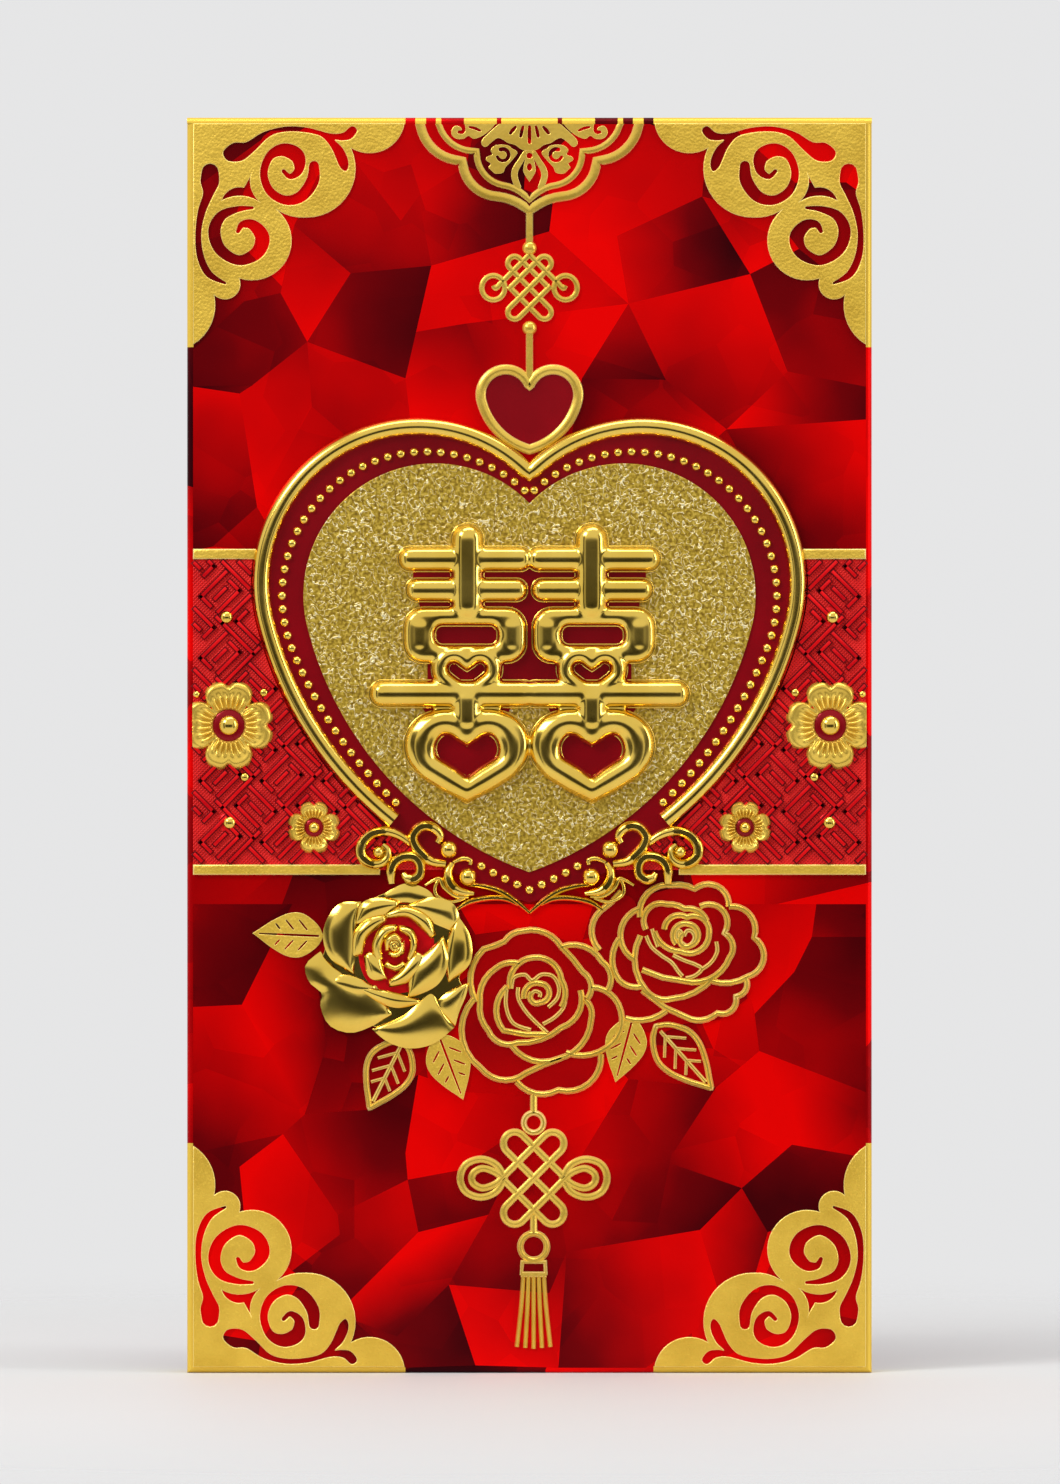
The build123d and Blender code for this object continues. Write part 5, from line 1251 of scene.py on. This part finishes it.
def petal_patch(bloom, outer, inner, rise, base):
    """Adds one cupped petal between an inner and an outer edge, rolled over at its outer lip."""
    rim = smooth_run(outer, steps=8)
    root = smooth_run(inner, steps=8)
    for vertex in bmesh.ops.create_grid(bloom, x_segments=22, y_segments=9, size=1.0)["verts"]:
        along, across = (vertex.co.x + 1) / 2, (vertex.co.y + 1) / 2
        x, y = spot_along(root, along).lerp(spot_along(rim, along), across)
        swell = math.sin(math.pi * along) ** 0.45 if 0 < along < 1 else 0.0
        roll = math.sin(math.pi * (ROLL_START + ROLL_SPAN * across)) ** 0.8
        lip = EDGE_LEVEL + (1.0 - EDGE_LEVEL) * roll
        vertex.co = (x, y, base + rise * swell * lip)


# Scale and place of the enlarged view on which the rose was measured, in mm per pixel and in mm.
VIEW_SCALE = 0.03185
VIEW_LEFT = -38.04
VIEW_TOP = 72.66


def rose_spots(pixels):
    """Places on the face of pixels measured on the enlarged view of the roses."""
    return [(column * VIEW_SCALE + VIEW_LEFT, VIEW_TOP - row * VIEW_SCALE) for column, row in pixels]


# For each petal, from the back to the front: pixels of its lip, pixels of its root, rise and base.
PETALS = (
    (((585, 310), (680, 262), (770, 285), (815, 335)),
     ((600, 330), (690, 318), (740, 330), (790, 345)), 0.9, 0.2),
    (((332, 542), (270, 598), (286, 668), (338, 715), (332, 765), (368, 846), (455, 878), (545, 850),
      (632, 800)),
     ((345, 560), (378, 630), (405, 665), (430, 690), (455, 715), (490, 740), (530, 762), (580, 785),
      (625, 792)), 1.5, 0.25),
    (((545, 862), (610, 915), (700, 942), (800, 922), (885, 855)),
     ((570, 850), (650, 845), (720, 825), (790, 790), (838, 780)), 1.5, 0.3),
    (((888, 850), (905, 790), (930, 730), (945, 675)),
     ((835, 800), (850, 760), (885, 715), (935, 672)), 1.3, 0.3),
    (((500, 337), (405, 348), (345, 450), (368, 565), (475, 642)),
     ((497, 350), (455, 400), (432, 480), (436, 570), (472, 632)), 1.7, 0.4),
    (((900, 395), (950, 480), (950, 590), (862, 672)),
     ((880, 430), (888, 500), (882, 590), (858, 660)), 1.7, 0.4),
    (((700, 345), (790, 318), (880, 345), (908, 410)),
     ((690, 352), (770, 372), (830, 398), (885, 440)), 1.6, 0.5),
    (((470, 425), (500, 345), (575, 318), (660, 335)),
     ((482, 432), (540, 385), (600, 360), (655, 352)), 1.6, 0.6),
    (((590, 390), (680, 352), (780, 395), (808, 475)),
     ((600, 402), (685, 385), (755, 425), (797, 485)), 1.7, 0.8),
    (((375, 655), (430, 640), (500, 660), (562, 690)),
     ((385, 672), (430, 685), (490, 700), (555, 697)), 1.2, 0.5),
    (((470, 690), (560, 745), (650, 775), (748, 755)),
     ((480, 682), (560, 712), (650, 735), (742, 745)), 1.4, 0.6),
    (((690, 738), (815, 680), (862, 575), (838, 478)),
     ((692, 722), (742, 640), (795, 562), (828, 490)), 1.9, 0.7),
    (((465, 565), (468, 470), (530, 400), (600, 388)),
     ((490, 560), (505, 480), (555, 430), (605, 405)), 1.6, 0.8),
    (((510, 560), (528, 640), (570, 662), (612, 655)),
     ((520, 548), (556, 588), (585, 625), (608, 648)), 1.7, 0.9),
    (((615, 690), (690, 670), (750, 610), (770, 560)),
     ((612, 672), (668, 640), (712, 590), (742, 545)), 1.6, 0.9),
    (((560, 590), (545, 510), (585, 440), (650, 430)),
     ((580, 580), (572, 515), (603, 462), (650, 448)), 1.7, 1.1),
    (((655, 432), (715, 450), (735, 520), (700, 590)),
     ((655, 450), (700, 470), (712, 520), (690, 578)), 1.7, 1.1),
    (((690, 600), (640, 625), (590, 600)),
     ((680, 585), (640, 605), (600, 585)), 1.6, 1.1),
    (((600, 545), (598, 490), (640, 465), (675, 490)),
     ((612, 540), (614, 500), (642, 482), (665, 500)), 1.6, 1.3),
    (((678, 495), (680, 545), (640, 570), (605, 552)),
     ((664, 505), (662, 538), (638, 552), (615, 542)), 1.6, 1.3),
)
CUP_PIXELS = (
    (600, 300), (690, 285), (790, 310), (875, 360), (900, 430), (930, 500), (935, 580), (905, 650),
    (920, 700), (880, 770), (850, 840), (790, 895), (700, 915), (610, 890), (540, 845), (460, 850),
    (400, 835), (370, 780), (340, 700), (300, 630), (345, 550), (365, 460), (400, 380), (500, 345),
)
EYE_PIXELS = (
    (500, 470), (560, 400), (660, 372), (760, 410), (800, 490), (790, 590), (730, 690), (630, 715),
    (530, 670), (490, 570),
)
BUD_PIXEL = (640, 515)
BUD_STEPS = 40
BUD_ROUND = 16
BUD_PITCH = 0.0238
ROOT_REACH = 0.55
RISE_SCALE = 0.62
BASE_SCALE = 0.8
left_rose = bmesh.new()
for lip_pixels, root_pixels, rise, base in PETALS:
    lip = rose_spots(lip_pixels)
    root = [
        tuple(inner + ROOT_REACH * (inner - outer) for outer, inner in zip(lip_spot, root_spot))
        for lip_spot, root_spot in zip(lip, rose_spots(root_pixels))
    ]
    petal_patch(left_rose, lip, root, rise * RISE_SCALE, base * BASE_SCALE)
bmesh.ops.recalc_face_normals(left_rose, faces=left_rose.faces[:])
bmesh.ops.solidify(left_rose, geom=left_rose.faces[:], thickness=0.12)
petal_mesh = made_mesh("rose_petals", left_rose)
on_face(petal_mesh, height=0.0)
[(bud_x, bud_z)] = rose_spots([BUD_PIXEL])
bud_run = []
for step in range(BUD_STEPS):
    angle, reach = math.tau * step / BUD_ROUND, BUD_PITCH * step
    bud_run.append((bud_x + reach * math.cos(angle), bud_z + reach * math.sin(angle)))
rose_bud = wire("rose_bud", [bud_run], width=0.4, height=0.35, base=1.5)
cup_outline = smooth_run(rose_spots(CUP_PIXELS), closed=True, steps=4)
rose_cup = flat_relief("rose_cup", [cup_outline], base=0.0, top=0.26, bevel=0.1)
# The red eye under the inner petals is a painted reflection: it gives the red glints between them.
eye_outline = smooth_run(rose_spots(EYE_PIXELS), closed=True)
rose_eye = flat_relief("rose_eye", [eye_outline], base=0.2, top=0.34, bevel=0.05)
put("rose_left_eye", rose_eye, rib_red, "dark_red_foil")
polished("rose_left", joined("rose_left", petal_mesh, rose_bud, rose_cup), angle=60.0)


# Drawn roses: petals stamped as half-round gold lines on grounds of dark red film, with finer lines
# inside them, the right rose behind the middle one. Heights are measured from the heart's lobes.
CENTRE_LINES = (
    ((-7.0, -55.0), (-7.6, -50.8), (-6.0, -48.1), (-4.7, -47.7), (-3.3, -47.1), (-2.4, -46.2),
     (-0.8, -45.7), (2.2, -46.0), (4.2, -47.8)),
    ((4.2, -47.8), (7.3, -47.8), (9.5, -49.7), (10.7, -51.6), (10.3, -53.5)),
    ((4.2, -47.8), (5.8, -49.5), (7.0, -51.1), (8.1, -52.7), (7.6, -54.6)),
    ((8.1, -53.1), (10.5, -53.9), (12.0, -56.2), (11.9, -58.9), (10.2, -61.0), (7.8, -62.0), (4.8, -61.7)),
    ((-1.3, -50.0), (-2.9, -49.9), (-4.4, -50.6), (-6.0, -52.3), (-6.5, -55.1), (-6.3, -57.3),
     (-5.4, -58.8)),
    ((-5.4, -58.8), (-4.1, -60.3), (-1.6, -60.4), (1.4, -60.0), (4.2, -58.4), (6.7, -55.9), (6.7, -53.5)),
    ((-2.5, -53.3), (-2.0, -50.6), (0.5, -49.2), (3.0, -49.9), (4.2, -52.1), (4.7, -53.5), (4.2, -55.7)),
    ((-2.4, -60.7), (0.3, -62.7), (3.8, -62.5), (6.7, -60.8), (8.1, -57.4), (8.1, -55.9), (7.3, -54.7)),
    ((-7.3, -54.6), (-8.9, -58.2), (-6.4, -63.7), (-3.5, -65.3), (-0.5, -64.4), (1.6, -63.4), (4.2, -62.4)),
    ((-1.7, -65.5), (0.2, -66.9), (3.8, -66.6), (8.1, -65.5), (9.4, -61.9)),
    ((-0.7, -54.6), (-0.1, -52.9), (1.4, -52.6), (2.6, -53.9), (1.4, -55.1), (0.2, -54.8), (0.3, -53.8)),
    ((-2.9, -53.0), (-4.3, -55.4), (-3.4, -58.8), (-1.3, -59.2), (2.3, -59.3)),
)
RIGHT_LINES = (
    ((14.5, -43.9), (15.3, -41.0), (18.8, -39.7), (20.3, -39.7), (21.7, -40.2), (25.0, -40.0),
     (26.2, -42.5)),
    ((26.2, -42.5), (29.0, -43.6), (29.5, -46.6), (30.8, -49.2), (28.7, -51.7), (26.6, -52.5),
     (23.9, -52.3)),
    ((14.4, -42.8), (12.1, -45.2), (13.8, -49.5)),
    ((11.8, -46.7), (10.9, -49.9), (11.8, -52.2), (13.2, -53.0), (14.8, -53.0)),
    ((14.6, -46.3), (13.8, -49.5), (15.3, -53.5), (16.9, -54.6), (18.8, -54.6), (21.7, -53.8),
     (24.1, -51.9)),
    ((15.3, -45.5), (15.6, -42.8), (18.0, -42.2), (19.3, -42.3), (20.4, -42.8), (22.5, -43.3),
     (23.3, -44.4)),
    ((22.4, -42.5), (25.2, -42.8), (25.6, -46.0), (26.7, -47.4), (26.3, -49.2), (24.7, -51.4),
     (20.4, -52.3), (17.4, -51.8), (14.8, -50.8)),
    ((17.7, -45.5), (18.4, -44.1), (20.7, -43.9), (22.8, -44.1), (23.6, -46.0), (22.5, -48.2),
     (19.9, -48.4), (17.6, -47.6), (16.4, -45.8)),
    ((19.3, -47.4), (19.3, -45.2), (20.9, -44.8), (22.1, -45.8), (21.2, -47.6), (19.9, -47.4),
     (20.3, -46.0)),
    ((12.1, -40.5), (10.7, -42.0), (9.3, -43.1), (8.2, -45.2), (9.2, -48.2)),
    ((12.6, -57.2), (15.3, -57.4), (18.0, -56.2)),
    ((14.8, -53.5), (18.0, -55.9), (21.2, -57.3), (23.3, -57.3), (24.7, -56.5), (26.8, -55.9),
     (27.1, -54.3), (28.4, -53.5), (28.3, -51.8)),
)
CENTRE_FINE = (
    ((-2.37, -53.28), (-2.05, -51.84), (-0.62, -51.46), (0.34, -52.22), (1.61, -51.43), (3.11, -51.68),
     (3.87, -53.12), (3.62, -54.55), (2.47, -55.73)),
    ((-1.48, -53.12), (-1.41, -54.71), (-0.07, -56.78), (2.35, -59.10)),
    ((-3.00, -53.12), (-3.07, -55.66), (-2.11, -57.83), (0.18, -58.72)),
    ((4.70, -53.44), (4.58, -55.51), (3.37, -57.00), (1.77, -57.96)),
    ((0.18, -54.14), (0.69, -53.63), (1.39, -53.88), (1.33, -54.39)),
)
RIGHT_FINE = (
    ((20.78, -47.78), (19.86, -47.11), (19.39, -46.23), (19.66, -45.63), (20.30, -46.37)),
    ((20.30, -46.37), (20.70, -45.70), (21.33, -45.77), (21.70, -46.47), (21.45, -47.19), (20.78, -47.78)),
    ((16.09, -45.43), (16.42, -46.52), (16.88, -47.78)),
    ((15.33, -46.35), (16.01, -47.78), (17.35, -48.95), (18.69, -49.87), (19.52, -50.99), (20.11, -51.66)),
    ((18.85, -48.87), (20.36, -49.59), (21.74, -50.09), (22.63, -50.71), (21.70, -51.60), (20.53, -51.93)),
    ((24.55, -47.11), (24.65, -48.45), (23.88, -49.82), (22.63, -50.76)),
)
rose_film, rose_shader = finish("rose_film", Metallic=0.3, Roughness=0.3, Specular_IOR_Level=0.1)
rose_place = node(rose_film, "TexCoord").outputs["Object"]
rose_cloud = node(rose_film, "TexNoise", {"Vector": rose_place, "Scale": 60.0, "Detail": 2.0}).outputs[0]
rose_colour = film_red(rose_film, math_of(rose_film, "MULTIPLY_ADD", rose_cloud, 0.5, 0.24))
rose_film.node_tree.links.new(rose_colour, rose_shader.inputs["Base Color"])
for place, lines, fine_lines in (("centre", CENTRE_LINES, CENTRE_FINE), ("right", RIGHT_LINES, RIGHT_FINE)):
    runs = [arc_run([(x, LOBE_Z + z) for x, z in line], step=14.0) for line in lines]
    fine_runs = [smooth_run([(x, LOBE_Z + z) for x, z in line], steps=5) for line in fine_lines]
    main_mesh = wire("rose_lines", runs, width=0.82, height=0.45, base=0.12)
    fine_mesh = wire("rose_fine", fine_runs, width=0.55, height=0.38, base=0.12)
    line_work(f"rose_{place}", joined(f"rose_{place}", main_mesh, fine_mesh))
    cover(f"rose_ground_{place}", rose_film)


# Leaves round the roses: three stamped solid in satin gold with engraved veins, two drawn in outline
# with fine veins of half-round line.
LEAF_SIDE = ((0.0, 0.0), (0.1, 0.26), (0.3, 0.48), (0.5, 0.48), (0.72, 0.31), (0.9, 0.11), (1.0, 0.0))
MIDDLE_VEIN = (0.08, 0.32, 0.6, 0.9)
SIDE_VEINS = ((0.17, 0.33), (0.36, 0.32), (0.55, 0.23))
VEIN_SWEEP = 0.55
CUT_GAP = 0.13


def leaf_parts(base, tip, width, gap):
    """Outline run, middle vein and side veins, a gap away from it, of one leaf in millimetres."""
    dx, dy = tip[0] - base[0], tip[1] - base[1]
    length = math.hypot(dx, dy)
    ux, uy = dx / length, dy / length

    def spot(along, across):
        return (base[0] + along * dx - across * uy * width, base[1] + along * dy + across * ux * width)

    outline = smooth_run([spot(along, across) for along, across in LEAF_SIDE], steps=5)
    outline += smooth_run([spot(along, -across) for along, across in LEAF_SIDE[::-1]], steps=5)[1:]
    middle = [spot(along, 0.0) for along in MIDDLE_VEIN]
    sides = []
    for root, span in SIDE_VEINS:
        for hand in (-1, 1):
            vein = (gap, (gap + span) / 2, span)
            sides.append([spot(root + VEIN_SWEEP * out, hand * out) for out in vein])
    return outline, middle, sides


def cut(run, widths):
    """Outline of an engraved line along a run, with its widths in millimetres."""
    return stroke([(*spot, width) for spot, width in zip(run, widths)])


LEAVES = (
    ("leaf_far_left", (-27.0, 57.4), (-36.4, 57.8), 5.9, "engraved"),
    ("leaf_lower_left", (-16.6, 43.6), (-21.0, 34.8), 6.0, "drawn"),
    ("leaf_mid_left", (-12.0, 44.6), (-8.7, 35.9), 5.8, "engraved"),
    ("leaf_mid_right", (13.6, 46.8), (11.3, 38.2), 5.4, "engraved"),
    ("leaf_lower_right", (16.6, 45.6), (23.9, 37.4), 5.8, "drawn"),
)
for name, base, tip, width, make in LEAVES:
    outline, middle, sides = leaf_parts(base, tip, width, CUT_GAP if make == "engraved" else 0.0)
    if make == "engraved":
        cuts = [cut(middle, (0.26, 0.3, 0.26, 0.16))] + [cut(vein, (0.18, 0.24, 0.16)) for vein in sides]
        leaf = flat_relief(name, [outline[:-1]] + cuts, base=0.0, top=0.36, bevel=0.08)
        satin_plate(name, leaf, slope=0.9)
    else:
        edge_line = wire("leaf_edge", [outline], width=0.78, height=0.45)
        middle_line = wire("leaf_middle", [middle], width=0.55, height=0.4)
        side_lines = wire("leaf_sides", sides, width=0.42, height=0.36)
        line_work(name, joined(name, edge_line, middle_line, side_lines))


# Lower pendant: a ring, a woven knot of cord with double side loops, a second ring and a tassel of
# cord strands under a banded cap, all stamped as raised half-round gold lines.
PENDANT_X = 0.55
LOWER_Z = 25.6
OUTER_LOOP = ((3.8, 0.0), (4.9, 1.75), (6.9, 2.5), (8.9, 1.8), (9.65, 0.0))
INNER_LOOP = ((3.9, 0.0), (5.3, 0.9), (6.7, 1.3), (7.8, 0.8), (8.15, 0.0))
CAP = ((-1.5, 14.6), (1.5, 14.6), (1.6, 13.1), (-1.6, 13.1), (-1.5, 14.6))
CAP_BAND = ((-1.7, 12.9), (1.7, 12.9))
STRANDS = 5


def hung(run):
    """A run moved from the middle of the face to the line of the pendant."""
    return [(PENDANT_X + x, z) for x, z in run]


lower_stems = [hung(((0, 37.0), (0, 34.2))), hung(((0, 20.8), (0, 18.4)))]
line_work("lower_stems", wire("lower_stems", lower_stems, width=0.95, height=0.5))
line_work("knot_ring", wire("knot_ring", [ring_run(PENDANT_X, 32.9, radius=1.3)], width=0.8, height=0.5))
lower_runs = knot_runs(PENDANT_X, LOWER_Z, strands=3, pitch=2.95, reach=2.05, shift=1.475)
for side in (-1, 1):
    for half in (OUTER_LOOP, INNER_LOOP):
        whole = list(half) + [(u, -v) for u, v in half[-2::-1]]
        lower_runs[-1].append(smooth_run(hung([(side * u, LOWER_Z + v) for u, v in whole]), steps=5))
line_work("lower_knot", woven("lower_knot", *lower_runs, width=0.98, height=0.49, crown=1.3))
line_work("tassel_ring", wire("tassel_ring", [ring_run(PENDANT_X, 16.6, radius=1.75)], width=0.9, height=0.5))
line_work("tassel_cap", wire("tassel_cap", [hung(CAP), hung(CAP_BAND)], width=0.72, height=0.45))
strands = []
for strand in range(STRANDS):
    share = strand / (STRANDS - 1) - 0.5
    fall = ((share * 2.7, 12.9), (share * 3.2, 9.0), (share * 4.4, 3.2 + abs(share) * 0.5))
    strands.append(smooth_run(hung(fall), steps=5))
strand_mesh = wire("tassel_strands", strands, width=0.62, height=0.42)
put("tassel_strands", strand_mesh, bright_gold, "satin_gold_foil", "tassel_strands")


# Studio: a pale table top that fades into a pale grey room, soft lamps above and beside the
# envelope, and dark cards in front of it, hidden from the camera, that the gold reflects.
MIDDLE = Vector((0, 0, 0.08))
ROOM_GREY = (0.79, 0.79, 0.795, 1.0)
table = clouded(
    "pale_table", scale=6.0, detail=2.0, dark=(0.735, 0.73, 0.725), light=(0.755, 0.75, 0.745), Roughness=0.6
)
table_place = node(table, "TexCoord").outputs["Object"]
from_middle = node(table, "VectorMath", {0: table_place}, operation="LENGTH").outputs["Value"]
fade = eased(table, from_middle, start=0.05, end=0.24, low=1.0, high=0.0)
table.node_tree.links.new(fade, table.node_tree.nodes["Principled BSDF"].inputs["Alpha"])
disc = bmesh.new()
bmesh.ops.create_circle(disc, cap_ends=True, segments=96, radius=0.8)
table_top = bpy.data.objects.new("table_top", made_mesh("table_top", disc))
table_top.data.materials.append(table)
bpy.context.scene.collection.objects.link(table_top)
flag_grey, flag_shader = finish("flag_grey", Roughness=0.9)
flag_uv = node(flag_grey, "TexCoord").outputs["UV"]
flag_middle = node(flag_grey, "VectorMath", {0: flag_uv, 1: (0.5, 0.5, 0.0)}, operation="SUBTRACT").outputs[0]
flag_span = node(flag_grey, "VectorMath", {0: flag_middle}, operation="ABSOLUTE").outputs[0]
flag_axes = node(flag_grey, "SeparateXYZ", {0: flag_span}).outputs
flag_out = math_of(flag_grey, "MAXIMUM", flag_axes[0], flag_axes[1])
flag_tone = ramp(
    flag_grey, flag_out, ((0.05, (0.02, 0.02, 0.02)), (0.32, (0.10, 0.10, 0.10)), (0.5, (0.85, 0.85, 0.85)))
)
flag_grey.node_tree.links.new(flag_tone, flag_shader.inputs["Base Color"])
for name, place, size in (
    ("flag_front", (0.0, -1.0, -0.02), (1.7, 0.60)),
    ("flag_left", (-0.72, -0.62, 0.08), (0.25, 1.1)),
    ("flag_right", (0.72, -0.55, 0.08), (0.25, 1.1)),
):
    flag = bmesh.new()
    flag.loops.layers.uv.new("UVMap")
    bmesh.ops.create_grid(flag, x_segments=1, y_segments=1, size=0.5, calc_uvs=True)
    facing = (MIDDLE - Vector(place)).to_track_quat("Z", "Y").to_matrix().to_4x4()
    flag.transform(Matrix.Translation(place) @ facing @ Matrix.Diagonal((*size, 1.0, 1.0)))
    dark_card = bpy.data.objects.new(name, made_mesh(name, flag))
    dark_card.data.materials.append(flag_grey)
    dark_card.visible_camera = False
    dark_card.visible_diffuse = False
    dark_card.visible_shadow = False
    bpy.context.scene.collection.objects.link(dark_card)
for name, place, size, power in (
    ("key_softbox", (-0.55, -0.50, 0.60), (0.30, 0.30), 3.2),
    ("side_softbox", (0.75, -0.30, 0.30), (0.12, 0.6), 1.6),
    ("top_softbox", (0.05, -0.12, 0.70), (0.6, 0.15), 1.6),
):
    lamp = bpy.data.lights.new(name, "AREA")
    lamp.shape = "RECTANGLE"
    lamp.size, lamp.size_y = size
    lamp.energy = power
    softbox = bpy.data.objects.new(name, lamp)
    softbox.location = place
    softbox.rotation_euler = (MIDDLE - Vector(place)).to_track_quat("-Z", "Y").to_euler()
    bpy.context.scene.collection.objects.link(softbox)

# The room looks brighter than the light that it gives.
room = bpy.data.worlds.new("pale_room")
room.use_nodes = True
backdrop = room.node_tree.nodes["Background"]
backdrop.inputs["Color"].default_value = ROOM_GREY
backdrop.inputs["Strength"].default_value = 1.0
fill = node(room, "Background", {"Color": ROOM_GREY, "Strength": 0.68})
rays = node(room, "LightPath").outputs
seen = math_of(room, "MAXIMUM", rays["Is Camera Ray"], rays["Is Glossy Ray"])
seen = math_of(room, "MAXIMUM", seen, rays["Is Transmission Ray"])
choose = node(room, "MixShader", {0: seen, 1: fill.outputs[0], 2: backdrop.outputs[0]})
room.node_tree.links.new(choose.outputs[0], room.node_tree.nodes["World Output"].inputs["Surface"])
bpy.context.scene.world = room
bpy.context.scene.view_settings.view_transform = "Standard"


# Camera: level with the middle of the picture and square to the face, far enough away that the relief
# near the edges is seen from the front.
PICTURE_ROWS = 1484
FOOT_ROW = 1373
PIXEL = 0.0001314
CAMERA_X = 0.00007
CAMERA_AWAY = 1.2
SENSOR = 36.0
lens = bpy.data.cameras.new("camera")
lens.sensor_fit = "VERTICAL"
lens.sensor_height = SENSOR
lens.lens = SENSOR * CAMERA_AWAY / (PICTURE_ROWS * PIXEL)
lens.clip_end = 20.0
camera = bpy.data.objects.new("camera", lens)
camera.location = (CAMERA_X, -FACE - CAMERA_AWAY, (FOOT_ROW - PICTURE_ROWS / 2) * PIXEL)
camera.rotation_euler = (math.radians(90), 0, 0)
bpy.context.scene.collection.objects.link(camera)
bpy.context.scene.camera = camera
